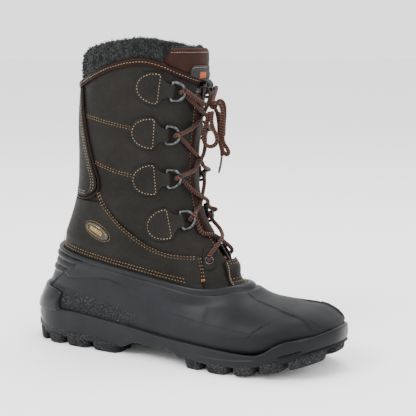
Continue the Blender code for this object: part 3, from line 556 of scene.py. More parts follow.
def pile(name, *shades):
    look = Look(name, 0.95, sheen=0.10, specular=0.1)
    base = look.ramp(look.noise(620, 4, 0.75), *zip((0.32, 0.5, 0.64, 0.8), shades))
    # painted shade: large patches drawn towards the darkest shade, for the shade in the pile's gaps
    gaps = look.ramp(look.noise(190, 3, 0.6), (0.35, (0.75, 0.75, 0.75)), (0.55, (0, 0, 0)))
    look.colour(look.mix(base, shades[0], gaps))
    look.bump(look.noise(1400, 3, 0.7), 0.0006, 0.8)
    return look.mat


def woven(name, dark, light, scale):
    look = Look(name, 0.8, sheen=0.08, specular=0.15)
    weave = look.math("MULTIPLY", look.wave(scale, "Y"), look.wave(scale, "Z"))
    look.colour(look.mix(look.ramp(weave, (0.1, dark), (0.8, light)), dark, look.noise(300, 3, 0.6)))
    look.bump(weave, 0.0003, 0.9)
    return look.mat


def braid(name, dark, mid, bright):
    """Lace: rust ticks in slanted rows on a dark braid. U runs along in mm, V once round."""
    look = Look(name, 0.7, sheen=0.08, specular=0.15)
    rows = look.node("ShaderNodeMapping")
    rows.inputs["Scale"].default_value = (1 / BRAID_PITCH, 2, 1)
    look.links.new(look.coords.outputs["UV"], rows.inputs["Vector"])
    split = look.node("ShaderNodeSeparateXYZ")
    look.links.new(rows.outputs["Vector"], split.inputs[0])
    along, around = split.outputs["X"], split.outputs["Y"]
    slant = look.math("FRACT", look.math("ADD", along, look.math("PINGPONG", around, 0.5)))
    tick = look.ramp(slant, (0.0, (0, 0, 0)), (0.10, (1, 1, 1)), (0.30, (1, 1, 1)), (0.42, (0, 0, 0)))
    look.colour(look.mix(dark, look.ramp(look.noise(1600, 3, 0.7), (0.3, mid), (0.7, bright)), tick))
    look.bump(tick, 0.00035, 0.8)
    look.bump(look.noise(2600, 2, 0.7), 0.00016, 0.8)
    return look.mat


def smooth_plastic(name, colour, roughness, coat=0.0):
    look = Look(name, roughness, coat=coat)
    look.colour(look.ramp(look.noise(120, 3, 0.6), (0.3, colour), (0.7, tuple(1.35 * c for c in colour))))
    look.bump(look.noise(1200, 3, 0.6), 0.00003, 0.6)
    return look.mat


BRAID_PITCH = 2.5
LEATHER = leather("waxed_leather_visual", (0.0058, 0.0050, 0.0041), (0.0125, 0.0112, 0.0094),
                  (0.028, 0.025, 0.021))
BROWN = leather("brown_leather_visual", (0.0060, 0.0018, 0.0008), (0.013, 0.0040, 0.0019),
                (0.028, 0.0105, 0.0055), 0.44)
PAD_BROWN = leather("tongue_leather_visual", (0.014, 0.0050, 0.0034), (0.026, 0.0098, 0.0068),
                    (0.042, 0.019, 0.014), 0.62, 0.8)
PIPING = leather("piping_visual", (0.006, 0.0026, 0.0017), (0.013, 0.0052, 0.0034), (0.024, 0.010, 0.006), 0.42)
TREAD = tread_rubber()
STEEL = steel("lace_ring_steel_visual", (0.026, 0.027, 0.029), (0.11, 0.113, 0.118))
GOLD = steel("badge_gold_visual", (0.13, 0.080, 0.022), (0.30, 0.21, 0.085))
THREAD = thread("gold_thread_visual", (0.085, 0.040, 0.012), (0.26, 0.155, 0.060))
PALE_THREAD = thread("pale_thread_visual", (0.13, 0.085, 0.048), (0.33, 0.25, 0.16))
RUST_THREAD = thread("rust_thread_visual", (0.12, 0.030, 0.007), (0.28, 0.090, 0.022))
FLEECE = pile("fleece_visual", (0.0018, 0.0019, 0.0020), (0.0095, 0.0101, 0.0105), (0.046, 0.049, 0.050),
              (0.24, 0.245, 0.245))
LINING = pile("lining_visual", (0.008, 0.009, 0.010), (0.022, 0.024, 0.026), (0.05, 0.053, 0.056),
              (0.12, 0.125, 0.13))
FELT = pile("footbed_visual", (0.05, 0.05, 0.052), (0.10, 0.10, 0.105), (0.15, 0.15, 0.155), (0.24, 0.24, 0.25))
WEBBING = woven("black_webbing_visual", (0.003, 0.003, 0.0035), (0.015, 0.015, 0.0165), 420)
PATCH = woven("grey_patch_visual", (0.010, 0.0105, 0.0105), (0.036, 0.037, 0.037), 520)
LABEL = woven("pale_label_visual", (0.03, 0.03, 0.031), (0.26, 0.26, 0.25), 260)
ORANGE = woven("orange_mark_visual", (0.30, 0.06, 0.008), (0.55, 0.14, 0.02), 520)
LACE = braid("lace_visual", (0.0040, 0.0022, 0.0018), (0.030, 0.0068, 0.0034), (0.17, 0.040, 0.012))
RED_LACE = braid("lace_bar_visual", (0.016, 0.003, 0.0025), (0.065, 0.013, 0.008), (0.12, 0.028, 0.017))
ENAMEL = smooth_plastic("badge_enamel_visual", (0.004, 0.004, 0.004), 0.42, 0.1)
AGLET = smooth_plastic("aglet_visual", (0.012, 0.006, 0.005), 0.35)
BOARD = smooth_plastic("fibre_board_visual", (0.22, 0.15, 0.09), 0.85)

# ---------------------------------------------------------------- camera, light and floor

def add_camera():
    data = bpy.data.cameras.new("camera")
    data.lens = CAMERA_LENS
    data.sensor_width = 36
    data.clip_start = 0.01
    camera = bpy.data.objects.new("camera", data)
    bpy.context.scene.collection.objects.link(camera)
    away = Vector((math.cos(CAMERA_ELEVATION) * math.sin(CAMERA_AZIMUTH),
                   -math.cos(CAMERA_ELEVATION) * math.cos(CAMERA_AZIMUTH), math.sin(CAMERA_ELEVATION)))
    camera.location = CAMERA_TARGET + away * CAMERA_DISTANCE
    camera.rotation_euler = (-away).to_track_quat("-Z", "Y").to_euler()
    bpy.context.scene.camera = camera


def add_light(name, place, size, power):
    data = bpy.data.lights.new(name, "AREA")
    data.shape = "DISK"
    data.size = size
    data.energy = power
    light = bpy.data.objects.new(name, data)
    light.location = place
    light.rotation_euler = (Vector(LIT_POINT) - Vector(place)).to_track_quat("-Z", "Y").to_euler()
    bpy.context.scene.collection.objects.link(light)


def add_floor():
    look = Look("floor_visual", 0.9, specular=0.1)
    look.colour(look.ramp(look.noise(3, 2, 0.5), (0.2, (0.93,) * 3), (0.8, (0.955,) * 3)))
    ring = [(FLOOR_RADIUS * math.cos(a), FLOOR_RADIUS * math.sin(a), 0)
            for a in np.linspace(0, 2 * math.pi, 64, endpoint=False)]
    mesh = bpy.data.meshes.new("floor")
    mesh.from_pydata(ring, [], [tuple(range(64))])
    mesh.materials.append(look.mat)
    floor = bpy.data.objects.new("floor", mesh)
    bpy.context.scene.collection.objects.link(floor)


def add_world():
    world = bpy.data.worlds.new("world")
    world.use_nodes = True
    backdrop = world.node_tree.nodes["Background"]
    backdrop.inputs["Color"].default_value = (1, 1, 1, 1)
    backdrop.inputs["Strength"].default_value = 2.0
    bpy.context.scene.world = world


add_camera()
add_world()
add_floor()
add_light("key", (-0.6, -1.5, 1.7), 1.1, 42)
add_light("front", (1.6, -0.7, 1.0), 0.9, 16)
add_light("top", (0.1, 0.5, 1.9), 1.2, 24)

# ---------------------------------------------------------------- cords and lace

LACE_RADIUS = 1.9
RING_WIRE = 1.4
RING_HEIGHT = 19.5
RING_DEPTH = 12.0
RING_SWING_OUT = math.radians(9)
BAR_HEIGHT = 3.5
RINGS = ((5.5, 250, 7), (-0.5, 210, 3), (-1, 169, -4), (10.5, 129.5, -9))
MEDIAL_RING_SETBACK = 5
CROSSINGS = (229.5, 189.5, 149.5, 113)
EYELET_X = 37.5
EYELET_Z = 94
KNOT = Vector((32.4, 0, 236.5))
LEFT_LOOP = (
    (31.8, -6.5, 230.5), (30.5, -9, 222), (29.2, -11, 214), (28.6, -12, 207.5), (30, -12, 202.3),
    (33.2, -12, 199.6), (37.2, -12, 199.3), (41, -12, 201.2), (43, -12, 205), (42, -11.5, 209.5),
    (39, -11, 214.5), (36, -9.5, 220.5), (34.6, -7, 227), (34.4, -5.3, 230.8),
)
RIGHT_LOOP = (
    (38, -1.5, 238.6), (41.2, -2, 236), (43, -2, 230), (43.4, -2, 223), (43.2, -2, 215), (42.8, -1.5, 207),
    (43.8, -0.5, 201.5), (46.2, 1, 197), (46.4, 3.5, 193), (43.4, 5.5, 190.6), (39, 6.5, 193),
    (36.4, 6.5, 199), (35.4, 6, 207), (35.6, 5, 216), (36, 4, 224), (36, 2.8, 229.8),
)
NEAR_TAIL = (
    (31, 5.6, 232.8), (31.4, 8.8, 228), (32, 10.6, 220), (32.8, 11.4, 210), (34, 11.8, 200),
    (34.8, 12, 192), (34.6, 12, 188),
)
NEAR_AGLET = ((34.5, 12, 187.6), (33.4, 12, 180), (31.3, 12, 172))
FAR_TAIL = (
    (33.2, 5.6, 239.2), (35.2, 9.5, 239.6), (36.2, 13, 236), (35.8, 15.2, 229), (34.8, 16, 220),
    (34.3, 16.2, 212), (34.2, 16.2, 206.5),
)
FAR_AGLET = ((34.2, 16.2, 206.1), (34, 16, 199), (33.8, 15.8, 192.5))


def tube_object(name, points, radius, look, body=ROOT, sides=14, closed=False, relief=0.0, taper=0.0):
    """Round tube with U along it in mm and V once round; relief is the braid's share of the radius."""
    p = np.asarray(points, float)
    along = travel(p)
    around = np.arange(sides) / sides
    turns = along[:, None] / BRAID_PITCH
    wave = np.sin(2 * np.pi * (turns + 2 * around)) * np.sin(2 * np.pi * (turns - 2 * around))
    radii = radius * (1 + relief * wave)
    if taper and not closed:
        ends = np.minimum(along, along[-1] - along)
        radii = radii * (1 - taper * (1 - smooth(ends, 0, radius * 0.8)))[:, None]
    rings = tube_rings(p, radii, sides, closed)
    count = len(p)
    faces, uv = [], []
    for i in range(count if closed else count - 1):
        k = (i + 1) % count
        u0, u1 = along[i], along[i + 1] if i + 1 < count else along[i] + np.linalg.norm(p[0] - p[i])
        for j in range(sides):
            m = (j + 1) % sides
            faces.append((i * sides + j, i * sides + m, k * sides + m, k * sides + j))
            uv += [(u0, j / sides), (u0, (j + 1) / sides), (u1, (j + 1) / sides), (u1, j / sides)]
    if not closed:
        for face in (tuple(range(sides))[::-1], tuple((count - 1) * sides + j for j in range(sides))):
            faces.append(face)
            uv += [(0, 0)] * sides
    obj = add_mesh(name, rings.reshape(-1, 3), faces, look, body)
    layer = obj.data.uv_layers.new(name="UVMap")
    layer.data.foreach_set("uv", np.asarray(uv, float).ravel())
    return obj


def surface_frame(x, z, side, lean=0.0):
    """Axes on the form at a place on one side: forward, up along the bar, and out."""
    spot, out = side_point(x, z, side)
    up = (Vector((0, 0, 1)) - out * out.z).normalized()
    forward = up.cross(out).normalized()
    if forward.x < 0:
        forward = -forward
    tilt = math.radians(lean)
    up, forward = up * math.cos(tilt) + forward * math.sin(tilt), forward * math.cos(tilt) - up * math.sin(tilt)
    return spot, forward, up, out


def drape(point, out, offset):
    """Point of the form under a place, moved out by an offset."""
    spot, facing = TREE.ray_cast(point + out * 40, -out)[:2]
    if facing.dot(out) < 0:
        facing = -facing
    return spot + facing * offset


def ring_frame(frame):
    """Centre of the bar and the ring's own axes: towards the tip, up the bar, out."""
    spot, forward, up, out = frame
    towards = forward * math.cos(RING_SWING_OUT) + out * math.sin(RING_SWING_OUT)
    outward = out * math.cos(RING_SWING_OUT) - forward * math.sin(RING_SWING_OUT)
    return spot + out * BAR_HEIGHT, towards, up, outward


def front_point(angle, z, offset):
    """Point off the front of the shaft, by the angle from straight ahead."""
    a = math.radians(angle)
    start = Vector((-25, 0, z))
    spot, facing = TREE.ray_cast(start, Vector((math.cos(a), -math.sin(a), 0)))[:2]
    if facing.dot(spot - start) < 0:
        facing = -facing
    return spot + facing * offset


def ring_turn(frame):
    """The lace's turn round a ring's tip: in under the wire, up through the ring, out over it."""
    bar, towards, up, outward = ring_frame(frame)
    tip = bar + towards * RING_DEPTH
    gap = RING_WIRE + LACE_RADIUS + 0.4
    points = []
    for degrees, lift in ((-70, -2.2), (-112, -1.5), (-156, -0.5), (156, 0.5), (112, 1.5), (70, 2.2)):
        a = math.radians(degrees)
        points.append(tip + (towards * math.cos(a) + outward * math.sin(a)) * gap + up * lift)
    return points


FRAMES = {(k, side): surface_frame(x - (MEDIAL_RING_SETBACK if side == -1 else 0), z, side, lean)
          for k, (x, z, lean) in enumerate(RINGS) for side in (1, -1)}
EYELETS = {side: surface_frame(EYELET_X, EYELET_Z, side) for side in (1, -1)}


def lace_half(start_side):
    """Route points from the first ring to one eyelet, and the indices of the crossing points."""
    route, cuts, turns = [], [], []
    side = start_side
    for k, crossing in enumerate(CROSSINGS):
        turns.append((k, side))
        route += ring_turn(FRAMES[(k, side)])[::-1]
        level = 5.3 if (k % 2 == 0) == (side == 1) else 2.1
        z_to = RINGS[k + 1][1] if k < 3 else EYELET_Z + 6
        above, below = RINGS[k][1] - crossing, z_to - crossing
        if side == -1:
            route.append(front_point(-24, crossing + 0.62 * above, 4.2))
        before, at, after = (0.28, 0.0, 0.28) if side == 1 else (0.1, 0.35, 0.68)
        route.append(front_point(side * 13, crossing + before * above, level + 0.5))
        cuts.append(len(route))
        route.append(front_point(0, crossing + at * below, level))
        if k < 3:
            route.append(front_point(-side * 13, crossing + after * below, level + 0.6))
            if side == 1:
                route.append(front_point(-24, crossing + 0.62 * below, 4.2))
        side = -side
    spot, _, up, out = EYELETS[start_side]
    route += [spot + out * 6.2 + up * 4.5, spot + out * 3.6, spot, spot - out * 3.4]
    return route, cuts, turns


def cord_points(points, first, last):
    """Smooth curve over part of a list of route points, shaped by its neighbours."""
    p = [np.array(q, float) for q in points]
    p = [2 * p[0] - p[1]] + p + [2 * p[-1] - p[-2]]
    f = np.arange(16)[:, None] / 16
    out = [catmull(*p[k:k + 4], f) for k in range(first, last)]
    return resample(np.vstack(out + [p[last + 1][None]]), 0.5)


def add_lace():
    pieces = []
    tail_routes = {}
    for start_side, word in SIDES:
        route, cuts, turns = lace_half(start_side)
        route = [KNOT + Vector((-3.4, -4.6 * start_side, 0.4)),
                 KNOT + Vector((-6.5, -9.5 * start_side, 2.2))] + route
        cuts = [0] + [c + 2 for c in cuts]
        for k, (ring, side) in enumerate(turns):
            points = cord_points(route, cuts[k], cuts[k + 1])
            piece = tube_object(f"lace_{word}_{k + 1}", points, LACE_RADIUS, LACE, None, relief=0.05)
            ends = (Vector(points[0]) + Vector(points[-1])) / 2
            bar, towards = ring_frame(FRAMES[(ring, side)])[:2]
            tip = bar + towards * (RING_DEPTH - 2)
            start = ends + (tip - ends) * 0.15
            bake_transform(piece)
            pieces.append(piece)
        tail_routes[start_side] = (route, cuts[-1])
    bar = {side: [EYELETS[side][0] - EYELETS[side][3] * 5.2 + Vector((1.6, 2.6 * side, 0.2))]
           for side in (1, -1)}
    middle = [front_point(7, 95.5, -4.8), front_point(0, 95.5, -3.6), front_point(-7, 95.5, -4.8)]
    for side, word in SIDES:
        route, start = tail_routes[side]
        points = cord_points(route + bar[side] + middle[::side], start, len(route))
        pieces.append(tube_object(f"lace_{word}_5", points, LACE_RADIUS, LACE, relief=0.05))
    run = [tail_routes[1][0][-1]] + bar[1] + middle + bar[-1] + [tail_routes[-1][0][-1]]
    across = cord_points(run, 0, len(run) - 1)
    pieces.append(tube_object("lace_bar", across, LACE_RADIUS, RED_LACE, relief=0.05))
    for piece in pieces:
        dress(piece, "lace_cord", "lace_run")


def add_knot():
    turns = []
    for share in np.linspace(0, 1, 70):
        a = 2 * math.pi * 1.75 * share - 0.6
        swell = 1 + 0.16 * math.sin(math.pi * share)
        turns.append(KNOT + Vector((2.15 * swell * math.cos(a), -2.3 + 4.6 * share, 2.3 * swell * math.sin(a))))
    band = tube_object("lace_knot_visual", curve(turns, 0.4), 1.75, LACE, relief=0.05, taper=0.5)
    dress(band, "lace_cord", "lace_knot")


def add_cord(name, node, points, with_pieces=()):
    path = curve(points, 0.5)
    piece = tube_object(name, path, LACE_RADIUS, LACE, relief=0.05, taper=0.25)
    dress(piece, "lace_cord", node)
    route = [tuple(p * MM) for p in resample(path, 3.0)]
    round(travel(path)[-1] * MM, 4)


def add_aglet(name, node, points):
    path = curve(points, 0.4)
    along = travel(path)
    radii = 1.12 - 0.16 * smooth(along, along[-1] - 3.5, along[-1]) - 0.1 * (1 - smooth(along, 0, 0.8))
    radii = radii - 0.07 * np.exp(-((along - 3.2) / 0.35) ** 2) - 0.07 * np.exp(-((along - 4.6) / 0.35) ** 2)
    piece = add_mesh(name, tube_rings(path, radii, 16).reshape(-1, 3), capped_faces(len(path), 16), AGLET)
    piece.data.set_sharp_from_angle(angle=math.radians(60))
    return dress(piece, "aglet_plastic", node)


add_cord("bow_loop_left_visual", "bow_loop_left", LEFT_LOOP)
add_cord("bow_loop_right_visual", "bow_loop_right", RIGHT_LOOP)
add_cord("tail_near_visual", "tail_near", NEAR_TAIL,
         [add_aglet("aglet_near_visual", "aglet_near", NEAR_AGLET)])
add_cord("tail_far_visual", "tail_far", FAR_TAIL,
         [add_aglet("aglet_far_visual", "aglet_far", FAR_AGLET)])
add_lace()
add_knot()

# ---------------------------------------------------------------- rubber lower

HEEL_PANEL = ((-80, 88), (-94, 81), (-102, 76.5), (-109, 74), (-111.5, 72.5), (-110, 70.5), (-105, 68.2),
              (-98, 67.2), (-77, 70), (-59, 71), (-47, 68), (-35, 62.5), (-22, 56))
BAND_TOP = ((-140, 61), (-123, 59), (-111, 57), (-78, 52), (-52, 47), (-29, 44), (-10, 41))
MOULD_LINE = ((-22, 56), (-10, 51), (10, 47), (38, 43), (58, 41.5), (74, 41), (100, 40))
TOE_CAP = ((91, 22), (94, 31), (100, 40), (107, 46.5), (117, 51.5), (129, 55))
LATERAL_BAR = ((44, 7), (60, -6.5), (72, -11), (91, -15), (115, -20.5), (131, -23.5), (141, -24),
               (146, -24), (152, -21))
MEDIAL_BAR = ((44, 8), (60, 16), (73, 19), (91, 22), (115, 27), (131, 30), (141, 31), (147, 32), (152, 31))
ARCH = (-44, -26, 10, 29)
RIM_FLARE = 2.2
HEEL_RIB_PITCH = 7.2
HEEL_KNOB_PITCH = 10.2
SHELL_DARK, SHELL_LIGHT = (0.0074, 0.0081, 0.0092), (0.0125, 0.0136, 0.0152)
CLIP_LINE = ((-160, 60), (-138, 55.5), (-120, 54), (-112, 50), (-107, 42), (-102, 38), (-95, 35))
TOE_TREAD = ((98, 8), (107, 11), (120, 15), (134, 19.5), (147, 24), (157, 26.5), (161, 27.5))
HEEL_TREAD = ((-160, 27), (-150, 22), (-133, 17), (-100, 15), (-78, 14), (-46, 12))


def distance(x, z, route):
    """Distance in a plane from places to a route, with its sign: positive on the route's left."""
    route = np.asarray(route, float)
    best = np.full(x.shape, 1e9)
    sign = np.ones(x.shape)
    for a, b in zip(route[:-1], route[1:]):
        d = b - a
        t = np.clip(((x - a[0]) * d[0] + (z - a[1]) * d[1]) / (d @ d), 0, 1)
        gap = np.hypot(x - a[0] - t * d[0], z - a[1] - t * d[1])
        cross = d[0] * (z - a[1]) - d[1] * (x - a[0])
        closer = gap < best - 1e-6
        best = np.where(closer, gap, best)
        sign = np.where(closer, np.where(cross >= 0, 1.0, -1.0), sign)
    return best * sign


def ridge(value, centre, width):
    return np.exp(-((value - centre) / width) ** 2)


def rim_flare(p):
    return RIM_FLARE * smooth(rim_height(p[..., 0]) - p[..., 2], 16, 5)


def shell_detail(p, n):
    """Extra height of the moulded details at points of the form, and how stippled and glossy they are."""
    x, y, z = np.moveaxis(p, -1, 0)
    below = rim_height(x) - z
    side = 1 - smooth(np.abs(n[..., 2]), 0.75, 0.95)
    out = rim_flare(p)
    out += 0.75 * ridge(below, 2.2, 2.0) - 0.9 * ridge(below, 5.2, 0.9) - 1.2 * smooth(below, 0.9, 0)
    rear = smooth(x, -20, -46)
    panel = distance(x, z, HEEL_PANEL)
    behind = np.where(x < -80, panel, np.where(z > 71.5, 1e3, panel))
    outside = smooth(-behind, -0.5, 0.7) * rear
    outside = np.where((x > -80) & (z > 64) & (behind > 50), 0, outside)
    out -= 1.15 * outside * smooth(below, 3, 6)
    out -= 0.55 * ridge(np.abs(behind), 0.4, 0.75) * rear * smooth(below, 4, 6)
    ribs = outside * smooth(x, -78, -84) * smooth(z, 70, 73.5)
    bulge = np.abs(np.sin(np.pi * (below - 5.0) / HEEL_RIB_PITCH)) ** 0.6
    out += ribs * (2.3 * bulge - 0.5) * smooth(below, 4.6, 5.6)
    band = distance(x, z, BAND_TOP)
    lower = smooth(band, 0.4, -0.9) * side * smooth(x, -6, -40)
    out += 0.55 * lower - 0.35 * ridge(band, 0.5, 0.8) * rear * side
    stipple = smooth(band, -0.5, -2.0) * smooth(x, -12, -52) * side
    mould = distance(x, z, MOULD_LINE)
    along = smooth(x, -30, -15) * smooth(x, 98, 92) * side
    out += 0.28 * ridge(mould, 0.0, 0.6) * along - 0.18 * smooth(mould, 0.5, -0.5) * along * smooth(x, 100, 60)
    cap = distance(x, z, TOE_CAP)
    reach = smooth(x, 88, 92) * smooth(np.abs(y - 5), 20, 27)
    out += reach * (0.55 * smooth(cap, 0.5, -0.8) * smooth(x, 150, 110) - 0.5 * ridge(cap, 0.4, 0.7))
    top = smooth(n[..., 2], 0.12, 0.3) * smooth(below, 5, 8)
    for bar, turn in ((LATERAL_BAR, -1), (MEDIAL_BAR, 1)):
        gap = distance(x, y, bar) * turn
        front = smooth(x, 104, 122) * smooth(x, 156, 150)
        middle = np.abs(gap + 0.3)
        out += top * front * (1.15 * smooth(middle, 2.5, 1.5) - 0.35 * ridge(middle, 3.0, 0.6))
        step = 0.5 * smooth(gap, 0.4, -0.5) - 0.45 * ridge(gap, 0.5, 0.6)
        out += top * (1 - front) * smooth(x, 44, 50) * step
    return out, stipple, 0.5 * ridge(below, 2.2, 2.4)


def add_masks(obj, stipple, gloss):
    for name, values in (("stipple", stipple), ("gloss", gloss)):
        layer = obj.data.attributes.new(name, "FLOAT", "POINT")
        layer.data.foreach_set("value", np.asarray(values, np.float32).ravel())


def masked_rubber():
    """Satin rubber that turns stippled and glossy where the two masks say so; the stipple has painted glints on
    its tops and painted shade in its pits.
    """
    look = Look("moulded_rubber_visual", 0.42, specular=0.14)
    stipple = look.node("ShaderNodeAttribute", attribute_name="stipple").outputs["Fac"]
    gloss = look.node("ShaderNodeAttribute", attribute_name="gloss").outputs["Fac"]
    base = look.ramp(look.noise(30, 5, 0.65), (0.3, SHELL_DARK), (0.72, SHELL_LIGHT))
    split = look.node("ShaderNodeSeparateXYZ")
    look.links.new(look.coords.outputs["Object"], split.inputs[0])
    toe = look.where(look.math("MULTIPLY", split.outputs["X"], 5.0), 0.2, 0.62)
    base = look.mix(base, tuple(0.5 * c for c in SHELL_DARK), look.math("MULTIPLY", toe, 0.9))
    stipple_relief = look.noise(680, 3, 0.75)
    # painted glints: pale specks where the stipple stands highest
    painted_glint = look.math("MULTIPLY", look.where(stipple_relief, 0.53, 0.70), stipple)
    # painted shade: dark specks in the stipple's pits
    painted_pit_shade = look.math("MULTIPLY", look.where(stipple_relief, 0.47, 0.32), stipple)
    base = look.mix(base, (0.085, 0.089, 0.095), look.math("MULTIPLY", painted_glint, 0.75))
    look.colour(look.mix(base, (0.0025, 0.0025, 0.003), painted_pit_shade))
    rough = look.math("ADD", 0.34, look.math("MULTIPLY", look.noise(240, 4, 0.7), 0.16))
    rough = look.math("ADD", rough, look.math("MULTIPLY", toe, 0.12))
    rough = look.math("SUBTRACT", rough, look.math("MULTIPLY", gloss, 0.22))
    rough = look.math("ADD", rough, look.math("MULTIPLY", stipple, 0.3))
    look.links.new(rough, look.bsdf.inputs["Roughness"])
    look.bump(look.math("MULTIPLY", stipple_relief, stipple), 0.0012, 1.0)
    look.bump(look.noise(850, 4, 0.7), 0.00005, 0.7)
    return look.mat


RUBBER = masked_rubber()


def sole_edges():
    """The sole outline's widest places against x, on the lateral and the medial side."""
    dense = closed_curve(SOLE_OUTLINE, 12)
    toe = TOE_INDEX * 12
    lateral, medial = dense[:toe + 1], np.vstack([dense[:1], dense[:toe - 1:-1]])
    return {side: run[np.argsort(run[:, 0])] for side, run in ((1, lateral), (-1, medial))}


SOLE_EDGES = sole_edges()


def half_width(x, side):
    return np.interp(x, SOLE_EDGES[side][:, 0], SOLE_EDGES[side][:, 1])


def spring(x):
    return SPRING_RISE * (np.maximum(np.asarray(x, float) - SPRING_START, 0) / (161 - SPRING_START)) ** 2


def add_shell():
    columns, rows = 340, 230
    angles = np.arange(columns) * 360 / columns
    start = rim_s(angles)
    shares = np.linspace(0, 1, rows) ** 1.45
    s = slide(start[None, :], 1.0, shares[:, None])
    a = np.broadcast_to(angles, s.shape)
    p, n = form(s, a), normal(s, a)
    fade = smooth(s, 0.985, 0.95)
    detail, stipple, gloss = shell_detail(p, n)
    outer = p + n * (detail * fade)[..., None]
    outer += n * (0.12 * wobble(p, 14) * fade)[..., None]
    inner = p + n * ((rim_flare(p) - 2.6) * fade - 0.4)[..., None]
    obj = sheet_solid("rubber_shell_visual", outer, inner, RUBBER, wrap=True, cap=True, flip=True, sharp=True)
    unseen = np.zeros(stipple.size)
    add_masks(obj, np.concatenate([stipple.ravel(), unseen]), np.concatenate([gloss.ravel(), unseen]))
    dress(obj, "moulded_rubber", "rubber_shell")


def wobble(p, size):
    """Soft repeatable unevenness of a surface, about -1 to 1."""
    q = np.asarray(p, float) / size
    x, y, z = np.moveaxis(q, -1, 0)
    return (np.sin(1.7 * x + 0.9 * np.sin(1.3 * y + 2)) * np.cos(1.5 * z + 1.1 * np.sin(x)) +
            0.6 * np.sin(2.9 * y + 1.3 * z + 0.7 * np.sin(2.3 * x)) +
            0.4 * np.sin(4.3 * x - 3.1 * z + 1.9 * y)) / 2


def sole_loop(count):
    """Columns round the sole: x, edge point and the direction inwards."""
    places = -160 + 321 * (1 - np.cos(np.pi * np.arange(count + 1) / count)) / 2
    x = np.concatenate([places, places[-2:0:-1]])
    side = np.concatenate([np.ones(count + 1), -np.ones(count - 1)]).astype(int)
    y = np.where(side == 1, half_width(x, 1), half_width(x, -1))
    centre = np.stack([np.clip(x, -110, 100), np.where(x > 60, 3, 0), np.zeros(len(x))], 1)
    edge = np.stack([x, y, np.zeros(len(x))], 1)
    return x, edge, unit(centre - edge)


def arch(x):
    return smooth(x, ARCH[0], ARCH[1]) * smooth(x, ARCH[3], ARCH[2])


def knobs(z):
    """Rounded ribs that run round the back of the heel."""
    return np.abs(np.sin(np.pi * (z - 22) / HEEL_KNOB_PITCH)) ** 0.7


def add_sole():
    count = 240
    x, edge, inward = sole_loop(count)
    wall = line(WALL_LINE, x)
    foot = spring(x) + LUG_DEPTH - 0.4 + 6.0 * arch(x)
    tread = line(TOE_TREAD, x)
    heel = smooth(x, -98, -112)
    toe = smooth(x, 100, 112)
    rows, stipple, gloss = [], [], []
    up = np.array((0, 0, 1.0))
    for t in np.concatenate([np.linspace(0, 0.12, 5), np.linspace(0.14, 0.86, 34), np.linspace(0.88, 1, 8)]):
        z = foot + (wall - foot) * t
        above = z - foot
        inset = 2.2 * (1 - quarter_round(above / 2.4)) + 1.7 * (1 - quarter_round((wall - z) / 1.8))
        gap = z - tread
        inset -= toe * (0.9 * smooth(gap, 0.5, -0.6) - 1.0 * ridge(gap, 0.7, 0.9))
        inset += 2.4 * smooth(np.abs(x - 133), 10, 7.5) * ridge(z, tread + 3.6, 1.7)
        band = smooth(x, 28, 38) * smooth(x, 108, 100) * (1 - heel)
        inset += band * (0.9 * smooth(above, 6.0, 7.6) - 0.25 * ridge(above, 3.6, 2.2))
        bumper = toe * smooth(gap, 0, 3)
        inset -= 0.7 * bumper * np.sin(np.pi * np.clip((wall - z) / np.maximum(wall - tread, 3), 0, 1))
        inset += heel * 0.9 - 1.3 * heel * smooth(x, -140, -151) * knobs(z) - 0.8 * heel * np.sin(np.pi * t)
        inset += 0.8 * smooth(x, -98, -80) * smooth(x, 36, 24) * smooth(above, 4, 9) * smooth(wall - z, 0.5, 3)
        rows.append(edge + inward * inset[:, None] + up * z[:, None])
        stipple.append(np.maximum(toe * smooth(gap, 0.2, -1.0),
                                  smooth(z - line(HEEL_TREAD, x), 0.6, -0.8) * smooth(x, -38, -48)))
        shine = [0.85 * band * smooth(above, 7.5, 5.5), bumper, heel * smooth(above, 2, 4)]
        gloss.append(np.maximum.reduce(shine))
    lip = edge + inward * 4.2 + up * (wall - 0.4)[:, None]
    inside = edge + inward * 6.5 + up * (wall - 7)[:, None]
    below = edge + inward * 5.5 + up * (foot - 0.2 + 0.3 * arch(x))[:, None]
    middle = np.stack([x, edge[:, 1] * 0.35, spring(x) + LUG_DEPTH - 0.5 + 1.6 * arch(x)], 1)
    rows = [middle, below] + rows + [lip, inside]
    faces = turned(grid_faces(len(rows), len(x), wrap=True))
    for start, turn in ((0, 1), (len(x) * (len(rows) - 1), -1)):
        ring = list(range(start, start + len(x)))
        for i in range(count):
            far = ring[-i - 1] if i + 1 < count else ring[i + 1]
            corners = [ring[i], ring[i + 1], far, ring[-i] if i else ring[0]]
            faces.append(tuple(dict.fromkeys(corners))[::-turn])
    obj = add_mesh("sole_wall_visual", np.array(rows).reshape(-1, 3), faces, RUBBER)
    obj.data.set_sharp_from_angle(angle=math.radians(60))
    unseen = [np.zeros(len(x))] * 2
    add_masks(obj, np.concatenate(unseen + stipple + unseen), np.concatenate(unseen + gloss + unseen))
    dress(obj, "tread_rubber", "outsole")


